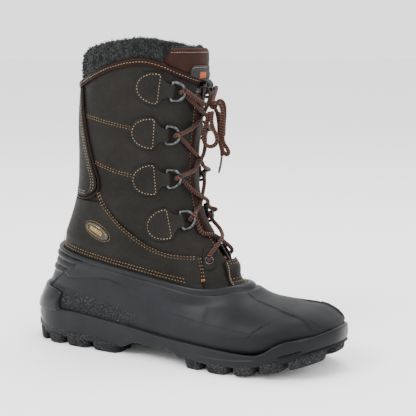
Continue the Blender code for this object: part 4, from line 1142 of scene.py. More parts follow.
def rounded_block(x0, x1, inner, outer, top):
    """Rounded lug as (points, faces). inner and outer give Y limits at x; top gives Z of its upper end."""
    turn = np.linspace(0, 2 * np.pi, 44, endpoint=False)
    u = np.sign(np.cos(turn)) * np.abs(np.cos(turn)) ** 0.42
    v = np.sign(np.sin(turn)) * np.abs(np.sin(turn)) ** 0.42
    layers = []
    for share, inset in ((0, 1.6), (0.03, 0.5), (0.10, 0.0), (0.4, 0.25), (0.7, 0.8), (0.88, 1.3), (0.96, 1.8),
                         (1.0, 2.9)):
        half = (x1 - x0) / 2 - inset
        x = (x0 + x1) / 2 + half * u
        low, high = inner(x), outer(x)
        middle, reach = (low + high) / 2, np.maximum(np.abs(high - low) / 2 - inset, 0.6)
        z = top(x) + (spring(x) - top(x)) * share
        layers.append(np.stack([x, middle + reach * v, z], 1))
    for share in (0.6, 0.0):
        last = layers[-1] if share else layers[-2]
        centre = last.mean(0)
        ring = centre + (last - centre) * max(share, 0.02)
        ring[:, 2] = spring(ring[:, 0])
        layers.append(ring)
    first = layers[0]
    centre = first.mean(0)
    cap = centre + (first - centre) * 0.02
    cap[:, 2] = top(cap[:, 0])
    grid = np.array([cap] + layers)
    return grid.reshape(-1, 3), grid_faces(len(grid), len(turn), wrap=True)


def join(blocks):
    """One list of points and faces from several."""
    points, faces, start = [], [], 0
    for p, f in blocks:
        points.append(p)
        faces += [tuple(start + i for i in face) for face in f]
        start += len(p)
    return np.vstack(points), faces


# Start and end in X of the lugs along each side of the tread and down its middle.
SIDE_LUGS = ((-158.5, -135.5), (-132.5, -112.5), (-109.5, -81.5), (-78, -45.5), (30.5, 51), (54, 79),
             (82, 103), (106, 127), (129.5, 155))
MIDDLE_LUGS = ((-146, -124), (-121, -97), (-94, -64), (-61, -47), (31, 42), (45, 66), (69, 92), (95, 116),
               (119, 138))


def add_lugs():
    blocks = []
    for x0, x1 in SIDE_LUGS:
        reach = 9.0 if x0 < -150 or x1 > 150 else 14.5
        root = LUG_DEPTH + (2.6 if x0 > -150 else 6.0)
        for side in (1, -1):
            blocks.append(rounded_block(
                x0, x1, lambda x: -side * np.minimum(reach, np.abs(half_width(x, side)) * 0.55),
                lambda x: half_width(x, side) - side * 0.2, lambda x: spring(x) + root))
    for x0, x1 in MIDDLE_LUGS:
        blocks.append(rounded_block(x0, x1, lambda x: 0 * x - 5.5, lambda x: 0 * x + 9.5,
                                    lambda x: spring(x) + LUG_DEPTH))
    points, faces = join(blocks)
    dress(add_mesh("lugs_visual", points, turned(faces), TREAD), "tread_rubber", "outsole")


def add_heel_clip():
    columns, rows = 180, 60
    angles = np.linspace(112, 248, columns)
    top = find_s(angles, lambda x: line(CLIP_LINE, x))
    base = find_s(angles, lambda x: line(WALL_LINE, x) - 2.5)
    v = np.linspace(0, 1, rows)[:, None]
    s = top + (base - top) * v
    a = np.broadcast_to(angles, s.shape)
    ribs = smooth(np.abs(a - 180), 34, 12) * knobs(form(s, a)[..., 2])
    ends = quarter_round(v / 0.10) * quarter_round((68 - np.abs(a - 180)) / 2.0)
    lift = (2.2 + 1.6 * np.sin(np.pi * v * 0.75) + 0.9 * ribs) * ends
    obj = sheet_solid("heel_clip_visual", skin(s, a, 0.4 + lift), skin(s, a, -0.5 + 0 * lift), RUBBER,
                      sharp=True)
    add_masks(obj, np.zeros(2 * lift.size), np.ones(2 * lift.size))
    dress(obj, "clip_plastic", "heel_clip")


add_shell()
add_sole()
add_lugs()
add_heel_clip()

# ---------------------------------------------------------------- seams and panels

OVERLAY_OFFSET = 2.0
LEATHER_OFFSET = -0.4
TONGUE_OFFSET = -4.1
FACING_ANGLE = 6
BACK_EDGE = 179.2
BACKSTAY_TOP, BACKSTAY_FOOT = 250.5, 148.5
VAMP_TOP, VAMP_PUFF = 92.0, 3.2
LACE_BAR = Vector((41, 0, 95))


def tuck(p):
    return -3.0 * smooth(p[..., 2] - rim_height(p[..., 0]), 16, 3)


def dip(p, depth):
    """Tongue and lining lie lower under the lace's first run."""
    across = 1 - smooth(np.abs(p[..., 1] - LACE_BAR.y), 20, 30)
    level = np.exp(-(((p[..., 2] - LACE_BAR.z) / 11) ** 2))
    return -depth * across * level * smooth(p[..., 0] - LACE_BAR.x, 10, 25)


def seam(points, side, offset):
    """Seam drawn in side view through (x, z) points, as points and normals on the leather."""
    flat = curve([(x, 0, z) for x, z in points])
    spots, outs = (np.array(part) for part in zip(*(side_point(x, z, side) for x, _, z in flat)))
    return spots + outs * offset, outs


def laid(place, angles, offset):
    """Seam through places of the form at angles, as points and normals."""
    return skin(place, angles, offset), normal(place, angles)


def shifted(route, gap):
    """The same seam moved sideways on the surface."""
    points, outs = route
    along = unit(np.gradient(points, axis=0))
    return points + np.cross(outs, along) * gap, outs


def stitch_rows(route, seed, pitch=3.0, length=1.5, radius=0.36):
    """Separate stitches along a seam as points and faces."""
    points, outs = route
    along = travel(points)
    count = int(along[-1] / pitch)
    if count < 1:
        return None
    rng = np.random.default_rng(seed)
    middle = (np.arange(count) + 0.5) * along[-1] / count
    sample = np.linspace(-0.5, 0.5, 7)
    where = middle[:, None] + sample[None, :] * length
    centre = np.stack([np.interp(where, along, points[:, i]) for i in range(3)], -1)
    out = unit(np.stack([np.interp(where, along, outs[:, i]) for i in range(3)], -1))
    arch = radius * (0.55 * np.sqrt(np.clip(1 - (2 * sample) ** 2, 0, 1)) - 0.25)
    across = unit(np.cross(out, unit(np.gradient(centre, axis=1))))
    wander = rng.normal(0, 0.06, (count, 1, 1))
    centre = centre + out * arch[None, :, None] + across * wander
    girth = radius * np.clip(1 - (2 * sample) ** 4, 0.12, 1) ** 0.5
    turn = np.linspace(0, 2 * np.pi, 7)[:-1]
    ring = (np.cos(turn)[None, None, :, None] * across[:, :, None, :] +
            np.sin(turn)[None, None, :, None] * out[:, :, None, :]) * girth[None, :, None, None]
    grid = centre[:, :, None, :] + ring
    faces = [tuple(i + 42 * k for i in face) for k in range(count) for face in capped_faces(7, 6)]
    return grid.reshape(-1, 3), faces


def add_stitches(name, routes, look, slot="waxed_leather", **options):
    blocks = [stitch_rows(route, seed=i + 1, **options) for i, route in enumerate(routes)]
    add_mesh(name, *join([b for b in blocks if b]), look)


def channel(p, routes):
    """How far the leather is drawn in along seams."""
    depth, width = 0.28, 0.75
    tree_points = np.vstack([r[0] for r in routes])
    tree = KDTree(len(tree_points))
    for i, q in enumerate(tree_points):
        tree.insert(q, i)
    tree.balance()
    flat = p.reshape(-1, 3)
    low, high = tree_points.min(0) - 4, tree_points.max(0) + 4
    near = np.all((flat > low) & (flat < high), axis=1)
    gap = np.full(len(flat), 99.0)
    for i in np.nonzero(near)[0]:
        gap[i] = tree.find(flat[i])[2]
    gap = gap.reshape(p.shape[:-1])
    return -depth * np.exp(-(gap / width) ** 2) + 0.35 * depth * np.exp(-((gap - 1.9) / 0.9) ** 2)


def shares(count, length, radius=0.8):
    """Places from 0 to 1 with extra ones near both ends for a rounded edge."""
    edge = np.array((0, 0.15, 0.4, 0.8)) * radius / length
    return np.concatenate([edge, np.linspace(1.4 * radius / length, 1 - 1.4 * radius / length, count),
                           1 - edge[::-1]])


def border_drop(p, radius, sides=(1, 1, 1, 1)):
    """Drop towards a panel's borders (first row, last row, first column, last column)."""
    gaps = []
    for on, axis, end in zip(sides, (0, 0, 1, 1), (0, -1, 0, -1)):
        if on:
            edge = np.take(p, [end], axis=axis)
            gaps.append(np.linalg.norm(p - edge, axis=-1))
    gap = np.minimum.reduce(gaps)
    return -rounded(gap, radius)


def add_panel(name, s, angles, offset, thickness, look, slot, node, extra, drop=(1, 1, 1, 1), radius=0.7):
    """Leather piece from grids of places and angles."""
    p, n = form(s, angles), normal(s, angles)
    lift = offset(p) + border_drop(p, radius, drop) + extra(p)
    outer = p + n * lift[..., None]
    inner = p + n * (offset(p) - thickness)[..., None]
    obj = sheet_solid(name, outer, inner, look, flip=True)
    dress(obj, slot, node)


def both_ways(side, values):
    return values if side == 1 else -values[::-1]


# Seams on the shaft, in side view.
UPPER_SEAM = ((-84, 223.8), (-72, 222), (-60, 219.8), (-45, 217), (-27, 213.8))
MIDDLE_SEAM = ((-72, 181), (-60, 177), (-45, 173), (-27, 169.6))
SWOOSH_SEAM = ((-67, 155), (-61, 143.2), (-47, 127.5), (-31, 114.6), (-14, 104), (3, 98), (18, 96.2),
               (27, 96.4))
FRONT_SEAM = ((29, 97), (31.5, 88), (35, 75))


def shaft_seams(side):
    heights = np.arange(250, 100, -1.0)
    angles = np.full(heights.shape, FACING_ANGLE + 1.3)
    facing = laid(level_s(angles, heights), angles * side, LEATHER_OFFSET)
    upper, middle = seam(UPPER_SEAM, side, LEATHER_OFFSET), seam(MIDDLE_SEAM, side, LEATHER_OFFSET)
    return [upper, shifted(upper, 2.2), middle, shifted(middle, 2.2), facing]


def overlay_seams(side):
    swoosh = seam([(x, z - 1.0) for x, z in SWOOSH_SEAM], side, OVERLAY_OFFSET)
    front = seam(FRONT_SEAM, side, OVERLAY_OFFSET)
    rims = []
    for first, lift, sunk in ((44, 3.2, 1.4), (43, 6.2, 0.9)):
        angles = both_ways(side, np.linspace(first, 179, 190))
        rims.append(laid(find_s(angles, lambda x: rim_height(x) + lift), angles, OVERLAY_OFFSET - sunk))
    return [swoosh, shifted(swoosh, 2.4)] + rims + [front, shifted(front, 2.0)]


# Wear folds at the ankle: X and Z of the middle, slope and size.
WEAR_FOLDS = ((8, 138, 0.35, 1.0), (0, 122, 0.25, 0.8), (-20, 152, 0.15, 0.6), (22, 112, 0.5, 0.8))


def eyelet_pit(p, side):
    return -1.4 * smooth(np.linalg.norm(p - np.array(EYELETS[side][0]), axis=-1), 3.0, 2.4)


def crease(p):
    """Soft wear folds at the ankle and slow unevenness of the hide."""
    x, _, z = np.moveaxis(p, -1, 0)
    folds = 0.0
    for cx, cz, slope, size in WEAR_FOLDS:
        d = (z - cz) - slope * (x - cx)
        folds = folds - 0.35 * size * np.exp(-(d / 2.2) ** 2) * np.exp(-((x - cx) / 17) ** 2)
    return folds + 0.16 * wobble(p, 26) + 0.07 * wobble(p, 9)


def add_shaft():
    v = shares(180, 170)[:, None]
    for side, word in SIDES:
        angles = both_ways(side, FACING_ANGLE + (BACK_EDGE - FACING_ANGLE) * shares(160, 170))
        s = slide(top_s(angles, 1.2), rim_s(angles, 2), v)
        routes = shaft_seams(side)
        add_panel(f"shaft_{word}_visual", s, np.broadcast_to(angles, s.shape),
                  lambda p: LEATHER_OFFSET + 1.15 * tuck(p), 1.7, LEATHER, "waxed_leather", f"shaft_{word}",
                  lambda p: channel(p, routes) + eyelet_pit(p, side) + crease(p))
        add_stitches(f"shaft_seams_{word}", routes, THREAD)


def add_quarters():
    v, u = shares(96, 75)[:, None], shares(170, 170)
    front = 27 + 13 * v
    for side, word in SIDES:
        angles = front + (BACK_EDGE - front) * u
        angles = angles if side == 1 else -angles[:, ::-1]
        start = find_s(angles, lambda x: line(SWOOSH_LINE, x))
        s = start + (rim_s(angles, 2.5) - start) * v
        routes = overlay_seams(side)
        add_panel(f"lower_quarter_{word}_visual", s, angles, lambda p: OVERLAY_OFFSET + tuck(p), 1.4, LEATHER,
                  "waxed_leather", f"lower_quarter_{word}", lambda p: channel(p, routes) + 0.8 * crease(p),
                  drop=(1, 0, 1, 1))
        add_stitches(f"quarter_seams_{word}", routes, THREAD)
        bar = seam(((34.2, 75.5), (37.4, 76.6)), side, OVERLAY_OFFSET)
        add_stitches(f"bar_tack_{word}", [bar, shifted(bar, 0.7), shifted(bar, -0.7)], RUST_THREAD,
                     pitch=1.2, length=1.3, radius=0.4)


def backstay_half(z):
    return line(BACKSTAY_HALF_ANGLE, z)


def add_backstay():
    zs = (BACKSTAY_TOP - (BACKSTAY_TOP - BACKSTAY_FOOT) * shares(100, 100))[:, None]
    half = backstay_half(zs) * (0.86 + 0.14 * quarter_round((zs - BACKSTAY_FOOT) / 9))
    angles = 180 + half * (2 * shares(96, 70) - 1)
    routes = []
    for gap in (2.6, 4.9):
        for side in (1, -1):
            z = np.arange(246, 153, -1.0)
            a = 180 - side * (backstay_half(z) - gap / 0.72)
            routes.append(laid(level_s(a, z), a, OVERLAY_OFFSET))
        a = np.linspace(118, 242, 110)
        routes.append(laid(level_s(a, BACKSTAY_FOOT + gap), a, OVERLAY_OFFSET))
    add_panel("backstay_visual", level_s(angles, zs), angles, lambda p: OVERLAY_OFFSET + 0 * p[..., 0], 1.4,
              LEATHER, "waxed_leather", "backstay", lambda p: channel(p, routes) + 0.08 * wobble(p, 12))
    add_stitches("backstay_seams", routes, PALE_THREAD, pitch=2.7, length=1.4, radius=0.34)
    down = [(z, backstay_half(z) + clear) for z, clear in (
        (251, 2.6), (230, 2.6), (212, 2.6), (194, 2.6), (178, 2.6), (165, 2.6), (157, 2.9), (152, 4.2),
        (148.6, 6.5))] + [(146.3, away) for away in (60, 40, 20, 0)]
    heights, away = np.array(down + down[-2::-1], float).T
    a = 180 - away * np.where(np.arange(len(away)) < len(down), 1, -1)
    run = skin(level_s(a, heights), a, 1.0)
    piece = tube_object("backstay_piping_visual", curve(run), 0.95, PIPING, sides=12)
    dress(piece, "brown_leather", "backstay_piping")


def puff(p):
    """The vamp stands away from the instep above the rim."""
    return VAMP_PUFF * smooth(p[..., 2], 75, 86)


def add_vamp():
    v = shares(50, 26)[:, None]
    angles = (11 + 8 * v) * (2 * shares(60, 30) - 1)
    start = level_s(angles, VAMP_TOP)
    s = start + (rim_s(angles, 2.5) - start) * v
    routes = []
    for lift, spread in ((3.2, 16), (6.2, 15.5)):
        a = np.linspace(-spread, spread, 60)
        routes.append(laid(find_s(a, lambda x: rim_height(x) + lift, 0.1, 0.75), a, OVERLAY_OFFSET - 1.2))
    for z in (90.2, 88.0):
        a = np.linspace(-8.5, 8.5, 30)
        routes.append(laid(level_s(a, z), a, OVERLAY_OFFSET + VAMP_PUFF))
    edges = []
    for side in (1, -1):
        f = np.linspace(0.08, 0.8, 30)
        a = side * (11 + 8 * f - 1.8)
        top = level_s(a, VAMP_TOP)
        place = top + (rim_s(a, 2.5) - top) * f
        on = form(place, a)
        edges.append(laid(place, a, OVERLAY_OFFSET + tuck(on) + puff(on)))
    add_panel("vamp_visual", s, angles, lambda p: OVERLAY_OFFSET + tuck(p) + puff(p), 1.4, LEATHER,
              "waxed_leather", "vamp", lambda p: channel(p, routes + edges) + 0.1 * wobble(p, 10),
              drop=(1, 0, 1, 1))
    add_stitches("vamp_seams", routes, THREAD)
    add_stitches("vamp_edge_seams", edges, PALE_THREAD, pitch=2.1, length=1.7, radius=0.36)


# Radius and height of an eyelet's section, and half width of its tab against height.
EYELET_PROFILE = ((2.55, -2.6), (2.55, 2.4), (2.7, 2.85), (3.1, 3.15), (3.6, 3.1), (4.0, 2.8), (4.2, 2.35),
                  (4.15, 2.2), (2.8, 2.2), (2.8, -2.6))
EYELET_TAB_HALF = ((-9, 2.2), (-7, 4.8), (-4, 5.8), (1, 5.8), (6, 5.4), (11, 4.6))


def add_eyelets():
    along = 11 - 20 * shares(36, 20, 0.9)
    reach = np.interp(along, *np.array(EYELET_TAB_HALF).T)
    reach = np.where(along < -4, np.sqrt(np.clip(1 - ((-4 - along) / 5.2) ** 2, 0.05, 1)) * 5.8, reach)
    u = 2 * shares(24, 11, 0.9) - 1
    for side, word in SIDES:
        spot, forward, up, out = EYELETS[side]
        outer, inner = [], []
        for f, r in zip(along, reach):
            row_out, row_in = [], []
            for share in u:
                place = spot + up * f + forward * r * share
                gap = min(r * (1 - abs(share)), 11 - f, f + 9)
                hole = math.hypot(f, r * share)
                lift = 2.2 - float(rounded(gap, 0.8)) - 1.2 * float(smooth(hole, 3.0, 2.4))
                row_out.append(drape(place, out, lift))
                row_in.append(drape(place, out, 0.75))
            outer.append(row_out)
            inner.append(row_in)
        obj = sheet_solid(f"eyelet_tab_{word}_visual", np.array(outer), np.array(inner), LEATHER,
                          flip=side == 1)
        dress(obj, "waxed_leather", f"eyelet_tab_{word}")
        turn = np.linspace(0, 2 * np.pi, 48, endpoint=False)
        points = [spot + (forward * math.cos(t) + up * math.sin(t)) * r + out * h
                  for r, h in EYELET_PROFILE for t in turn]
        ring = add_mesh(f"eyelet_{word}_visual", points, ring_faces(len(EYELET_PROFILE), 48), STEEL)
        dress(ring, "steel", f"eyelet_{word}")


TAB_HALF = 0.65
TAB_STITCH_LINE = ((-11.0, 13.0), (-15, 13.3), (-20.6, 12.0), (-25, 9.6), (-28.2, 5.8), (-29.5, 1.8),
                   (-29.5, -1.8), (-28.2, -5.8), (-25, -9.6), (-20.6, -12.0), (-15, -13.3), (-11.0, -13.0))


def ring_outline():
    half = RING_HEIGHT / 2 - RING_WIRE
    tip = 8.4
    centre = RING_DEPTH - tip
    points = [(0, -half + 2.2), (0, -2), (0, 2), (0, half - 2.2), (0.7, half - 0.6), (2.2, half)]
    points += [(centre + tip * math.cos(a), tip * math.sin(a))
               for a in (math.radians(d) for d in (62, 40, 20, 0, -20, -40, -62))]
    points += [(2.2, -half), (0.7, -half + 0.6)]
    return closed_curve(points, 10)


def tab_grid(frame, height_shift):
    """Surface of a ring tab: the D-shaped disc, its neck and the fold round the bar."""
    spot, forward, up, out = frame
    flat = 0.5 + TAB_HALF
    eye = BAR_HEIGHT - flat
    path = [(-31.6, flat, 1.5), (-31.2, flat, 4.6), (-30.2, flat, 7.5), (-28.4, flat, 10.1), (-25.8, flat, 12.3),
            (-22.4, flat, 14.0), (-18.4, flat, 15.0), (-14.2, flat, 15.2), (-11.2, flat, 14.9),
            (-9.4, flat + 0.2, 13.0), (-8.0, flat + 0.4, 10.6), (-6.6, flat + 1.2, 8.4),
            (-4.6, flat + 2.8, 6.8)]
    path += [(eye * math.sin(a), BAR_HEIGHT + eye * math.cos(a), 6.0)
             for a in (math.radians(d) for d in (-38, -15, 10, 40, 70, 100, 130, 155))]
    path += [(-0.6, flat, 5.8), (-3.6, flat, 5.6)]
    keys = curve(path, 0.55, 10)
    u = 2 * shares(26, 16, 0.9) - 1
    grid = []
    for i, (along, height, reach) in enumerate(keys):
        before, after = keys[max(i - 1, 0)], keys[min(i + 1, len(keys) - 1)]
        run = unit(np.array((after[0] - before[0], after[1] - before[1])))
        upper = i < len(keys) * 0.6
        soft_share = float(smooth(along, -3, -8)) if upper else 0.0
        row = []
        for share in u:
            gap = max(reach, 0.2) * (1 - abs(share))
            edge = min(gap, along + 32.0) if upper else gap
            shift = height_shift - (0 if height_shift < 0 else float(rounded(max(edge, 0), 0.8)))
            place = spot + up * reach * share + forward * along
            rigid = place + out * height + (out * run[0] - forward * run[1]) * shift
            if soft_share > 0:
                soft = drape(place, out, height + shift)
                rigid = rigid.lerp(soft, soft_share)
            row.append(rigid)
        grid.append(row)
    return np.array(grid)


def leather_seam(spots, out, high, low):
    """Seam over a piece at two offsets of the form: points on top and the directions out."""
    on, under = (np.array([drape(q, out, offset) for q in spots]) for offset in (high, low))
    return on, unit(on - under)


def add_ring_set(k, side, word, outline):
    frame = FRAMES[(k, side)]
    spot, forward, up, out = frame
    tag = f"{word}_{k + 1}"
    tab = sheet_solid(f"ring_tab_{tag}_visual", tab_grid(frame, TAB_HALF), tab_grid(frame, -TAB_HALF), LEATHER,
                      flip=side == -1)
    dress(tab, "waxed_leather", f"ring_tab_{tag}")
    runs = ([(-11.0, a) for a in np.linspace(-12.8, 12.8, 24)],
            curve([(a, b, 0) for a, b in TAB_STITCH_LINE])[:, :2])
    routes = [leather_seam([spot + forward * a + up * b for a, b in run], out, 1.8, 0.8) for run in runs]
    add_stitches(f"ring_tab_seams_{tag}", routes, PALE_THREAD, pitch=2.75, length=1.45, radius=0.38)
    bar, towards, up_bar, _ = ring_frame(frame)
    loop = [bar + towards * x + up_bar * y for x, y in outline]
    ring = tube_object(f"d_ring_{tag}_visual", loop, RING_WIRE, STEEL, f"ring_{tag}", sides=16, closed=True)
    dress(ring, "steel", f"d_ring_{tag}")


def add_ring_sets():
    outline = ring_outline()
    for k in range(len(RINGS)):
        for side, word in SIDES:
            add_ring_set(k, side, word, outline)


add_shaft()
add_quarters()
add_backstay()
add_vamp()
add_eyelets()
add_ring_sets()

# ---------------------------------------------------------------- binding, tongue, pile and badge

def edge_frames(angles):
    """Base point, outward normal and upward direction along the top edge."""
    s = top_s(angles)
    base, out = form(s, angles), normal(s, angles)
    return base, out, unit(form(np.maximum(s - 0.01, 0), angles) - form(s + 0.01, angles))


def edge_loft(angles, outline):
    """Closed outlines of (offset, height) carried along the top edge, as a grid of points."""
    base, out, up = edge_frames(angles)
    rows = np.array([outline(a) for a in angles])
    return base[:, None] + out[:, None] * rows[..., :1] + up[:, None] * rows[..., 1:]


def closed_outline(corners, count):
    """Rounded closed outline through corners, evenly spaced, anticlockwise or not as given."""
    dense = closed_curve([(x, y, 0) for x, y in corners], 12)
    dense = np.vstack([dense, dense[:1]])
    return resample(dense, travel(dense)[-1] / count)[:count, :2]


def loft_object(name, grid, look, slot, node):
    """Closed loft of closed outlines with capped ends."""
    return dress(add_mesh(name, grid.reshape(-1, 3), capped_faces(*grid.shape[:2]), look), slot, node)


def taper_to(flat, middle, taper, least):
    """An outline drawn in towards a middle point, less in height than in thickness."""
    middle = np.array(middle)
    return (flat - middle) * np.array((taper, least + (1 - least) * taper)) + middle


def section_normals(grid):
    """Outward directions of a loft of closed outlines."""
    along = np.gradient(grid, axis=0)
    around = np.roll(grid, -1, axis=1) - np.roll(grid, 1, axis=1)
    n = unit(np.cross(along, around))
    centre = grid.mean(1, keepdims=True)
    return n * np.where(((grid - centre) * n).sum(-1, keepdims=True).mean() < 0, -1, 1)


def add_binding():
    angles = np.linspace(FACING_ANGLE, 360 - FACING_ANGLE, 420)
    corners = ((1.35, -4.6), (1.5, -3.2), (1.75, -1.2), (1.4, 1.0), (0.2, 2.1), (-1.4, 2.3), (-3.0, 2.0),
               (-3.9, 0.9), (-3.9, -2), (-3.8, -4.5), (-2.8, -4.5), (-2.7, -2), (-2.6, 0.3), (-1.2, 0.8),
               (0.1, 0.2), (0.15, -2), (0.2, -4.6))
    outline = closed_outline(corners, 56)
    grid = edge_loft(angles, lambda a: outline)
    n = section_normals(grid)
    grid = grid + n * (0.10 * wobble(grid, 7) + 0.10 * wobble(grid, 3))[..., None]
    base, out, up = edge_frames(angles)
    over = 1.3 * smooth(np.abs(angles - 180), 54, 44)
    grid = grid + (out * over[:, None])[:, None]
    loft_object("top_binding_visual", grid, BROWN, "brown_leather", "top_binding")
    run = base + out * (1.72 + over)[:, None] - up * 1.5
    add_stitches("binding_seam", [(run[2:-2], out[2:-2])], PALE_THREAD, "brown_leather", radius=0.34)


def tufts(grid, normals, count, length, seed):
    """Short curled locks that stand out of a surface, as points and faces."""
    rng = np.random.default_rng(seed)
    p, n = grid.reshape(-1, 3), normals.reshape(-1, 3)
    pick = rng.integers(0, len(p), count)
    root, out = p[pick] + rng.normal(0, 0.7, (count, 3)), n[pick]
    lean = unit(out + rng.normal(0, 0.55, (count, 3)))
    side = unit(np.cross(lean, rng.normal(0, 1, (count, 3))))
    turn = np.cross(lean, side)
    size = length * rng.uniform(0.6, 1.25, (count, 1))
    spin = rng.uniform(0, 2 * np.pi, (count, 1))
    rings = []
    for share in (0.0, 0.3, 0.6, 0.85, 1.0):
        curl = spin + 3.4 * share
        reach = 0.5 * size * share
        middle = root - out * 0.4 + lean * size * share * (1 - 0.25 * share)
        middle = middle + side * np.cos(curl) * reach * 0.7 + turn * np.sin(curl) * reach * 0.7
        girth = 0.42 * rng.uniform(0.8, 1.2, (count, 1)) * (1.0 - 0.75 * share ** 2)
        ring = [middle + (side * math.cos(t) + turn * math.sin(t)) * girth for t in (0, 2.094, 4.189)]
        rings.append(np.stack(ring, 1))
    block = np.stack(rings, 1)
    one = grid_faces(5, 3, wrap=True) + [(2, 1, 0), (12, 13, 14)]
    faces = [tuple(i + 15 * k for i in face) for k in range(count) for face in one]
    return block.reshape(-1, 3), faces


def lumps(p):
    """Clumped unevenness of pile, about 0 to 1."""
    return 0.5 + 0.25 * (wobble(p, 2.6) + wobble(p[..., ::-1] + 11, 1.7))


def add_pile(node, grid, count, length, seed, proud):
    """Padded piece with an uneven pile and separate locks that stand out of it."""
    n = section_normals(grid)
    fluffed = grid + n * (proud * lumps(grid) - 0.25 * proud + 0.5 * wobble(grid, 11))[..., None]
    body = loft_object(node + "_visual", fluffed, FLEECE, "fleece", node)
    locks = tufts(fluffed[2:-2], n[2:-2], count, length, seed)
    dress(add_mesh(node + "_visual_locks", *locks, FLEECE), "fleece", node)


def add_cuff():
    angles = np.linspace(49, 311, 420)

    def outline(angle):
        rise = float(line(CUFF_TOP, angle)) - float(top_height(angle)) - 1.4
        corners = ((-1.9, 1.5), (-1.0, 5), (-0.7, 0.5 * rise), (-1.1, rise - 5.7), (-2.4, rise - 1.9),
                   (-4.0, rise - 0.2), (-5.6, rise), (-7.2, rise - 1.6), (-8.6, rise - 5.2), (-9.4, 9),
                   (-9.8, 2.0), (-6, 1.4))
        return closed_outline(corners, 96)

    add_pile("fleece_cuff", edge_loft(angles, outline), 12500, 1.7, 3, 1.2)


def pad_top(angle):
    return 288 - float(top_height(angle))


def crown(p):
    """The tongue's bulge between the facings."""
    between = smooth(np.abs(p[..., 1]), 10.5, 3.5)
    return 6.2 * between * smooth(p[..., 2], 252, 234) * smooth(p[..., 2], 104, 118)


def add_tongue():
    angles = 28 * (2 * shares(60, 56) - 1)
    s = slide(top_s(angles, -1.0), level_s(angles, 80), shares(200, 190)[:, None])
    add_panel("tongue_visual", s, np.broadcast_to(angles, s.shape),
              lambda p: TONGUE_OFFSET + crown(p) + dip(p, 4.8), 1.2, BROWN, "brown_leather", "tongue",
              lambda p: 0.35 * wobble(p, 15) + 0.15 * wobble(p, 6))


def add_tongue_head():
    angles = np.linspace(-48, 48, 160)

    def outline(angle):
        top = pad_top(angle) - 5 * float(smooth(abs(angle), 38, 48)) ** 2
        taper = 1 - 0.55 * float(smooth(abs(angle), 40, 48.5))
        corners = ((-1.7, 1.6), (-0.4, 5), (-0.1, 8), (-0.2, top - 8), (-0.8, top - 3.5), (-2.3, top - 0.8),
                   (-4.2, top), (-5.9, top - 1.1), (-6.9, top - 4), (-7.0, 7), (-6.6, 1.6))
        return taper_to(closed_outline(corners, 64), (-4.0, 2.0), taper, 0.25)

    grid = edge_loft(angles, outline)
    n = section_normals(grid)
    grid = grid + n * (0.35 * wobble(grid, 13) + 0.12 * wobble(grid, 5))[..., None]
    pad = loft_object("tongue_pad_visual", grid, PAD_BROWN, "brown_leather", "tongue_pad")
    base, out, up = edge_frames(angles)
    tops = np.array([pad_top(a) for a in angles])[:, None]
    run = base + out * -0.35 + up * (tops - 3.6)
    add_stitches("tongue_pad_seam", [(run[10:-10], out[10:-10])], PALE_THREAD, "brown_leather",
                 pitch=2.4, length=1.6, radius=0.3)

    def pile_outline(angle):
        top = pad_top(angle) + 1.2
        corners = ((-7.6, 1.8), (-7.5, top - 5), (-7.7, top - 1.6), (-9, top - 0.3), (-10.8, top - 1.0),
                   (-12.2, top - 5), (-12.4, top - 9), (-12, 1.8))
        taper = 1 - 0.45 * float(smooth(abs(angle), 36, 43.5))
        return taper_to(closed_outline(corners, 60), (-9.5, 2.0), taper, 0.4)

    add_pile("tongue_fleece", edge_loft(np.linspace(-43, 43, 150), pile_outline), 3200, 1.6, 5, 1.0)


def slab_on_edge(name, angle, low, high, offset, thickness, look, radius=0.5, rows=40, corner=0.0):
    """Thin piece of the patch against the tongue's head, to an angle each side and between two heights."""
    v, u = shares(rows, 13, radius), shares(60, 40, radius)
    base, out, up = edge_frames(angle * (2 * u - 1))
    reach = (high - low) / 2 * (corner_round(u, corner) if corner else 1 + 0 * u)
    z = (low + high) / 2 + reach * (1 - 2 * v[:, None])
    mid = base + up * (z - top_height(angle * (2 * u - 1)))[..., None]
    flat = mid + out * offset
    outer = mid + out * (offset + thickness + border_drop(flat, radius))[..., None]
    dress(sheet_solid(name, outer, flat, look), "webbing", "tongue_patch")


def corner_round(u, corner):
    """Share of the full height left at a share of the way across a plate with rounded corners."""
    return quarter_round(1 - (np.abs(2 * u - 1) - (1 - corner)) / corner, 0.03)


PATCH_ANGLE, PATCH_LOW, PATCH_HIGH, PATCH_CORNER = 19, 257.5, 272.5, 0.3
PATCH_SEAM_INSET = 1.6


def add_tongue_patch():
    slab_on_edge("tongue_patch_visual", PATCH_ANGLE, PATCH_LOW, PATCH_HIGH, 0.1, 1.1, PATCH,
                 corner=PATCH_CORNER)
    slab_on_edge("tongue_patch_mark", 5.5, 260.5, 266.5, 1.0, 0.35, ORANGE, 0.25, 20)
    a = np.linspace(-PATCH_ANGLE, PATCH_ANGLE, 80)
    base, out, up = edge_frames(a)
    half = (PATCH_HIGH - PATCH_LOW) / 2 * corner_round((a + PATCH_ANGLE) / (2 * PATCH_ANGLE), PATCH_CORNER)
    z = (PATCH_LOW + PATCH_HIGH) / 2 + np.maximum(half - PATCH_SEAM_INSET, 0.1)
    run = base + out * 1.25 + up * (z - top_height(a))[:, None]
    add_stitches("tongue_patch_seam", [(run[4:-4], out[4:-4])], PALE_THREAD, "webbing", pitch=2.2, length=1.5,
                 radius=0.32)


def add_tongue_label():
    v, u = shares(30, 11, 0.4)[:, None], 2 * shares(24, 12, 0.4) - 1
    top, foot = level_s(7.5 * u, 251), level_s(7.5 * u, 240)
    s = top + (foot - top) * v
    add_panel("tongue_label_visual", s, np.broadcast_to(7.5 * u, s.shape),
              lambda p: TONGUE_OFFSET + 1.25 + 0 * p[..., 0], 0.8, LABEL, "webbing", "tongue_label",
              lambda p: 0.10 * np.sin(p[..., 2] * 2.6), radius=0.35)


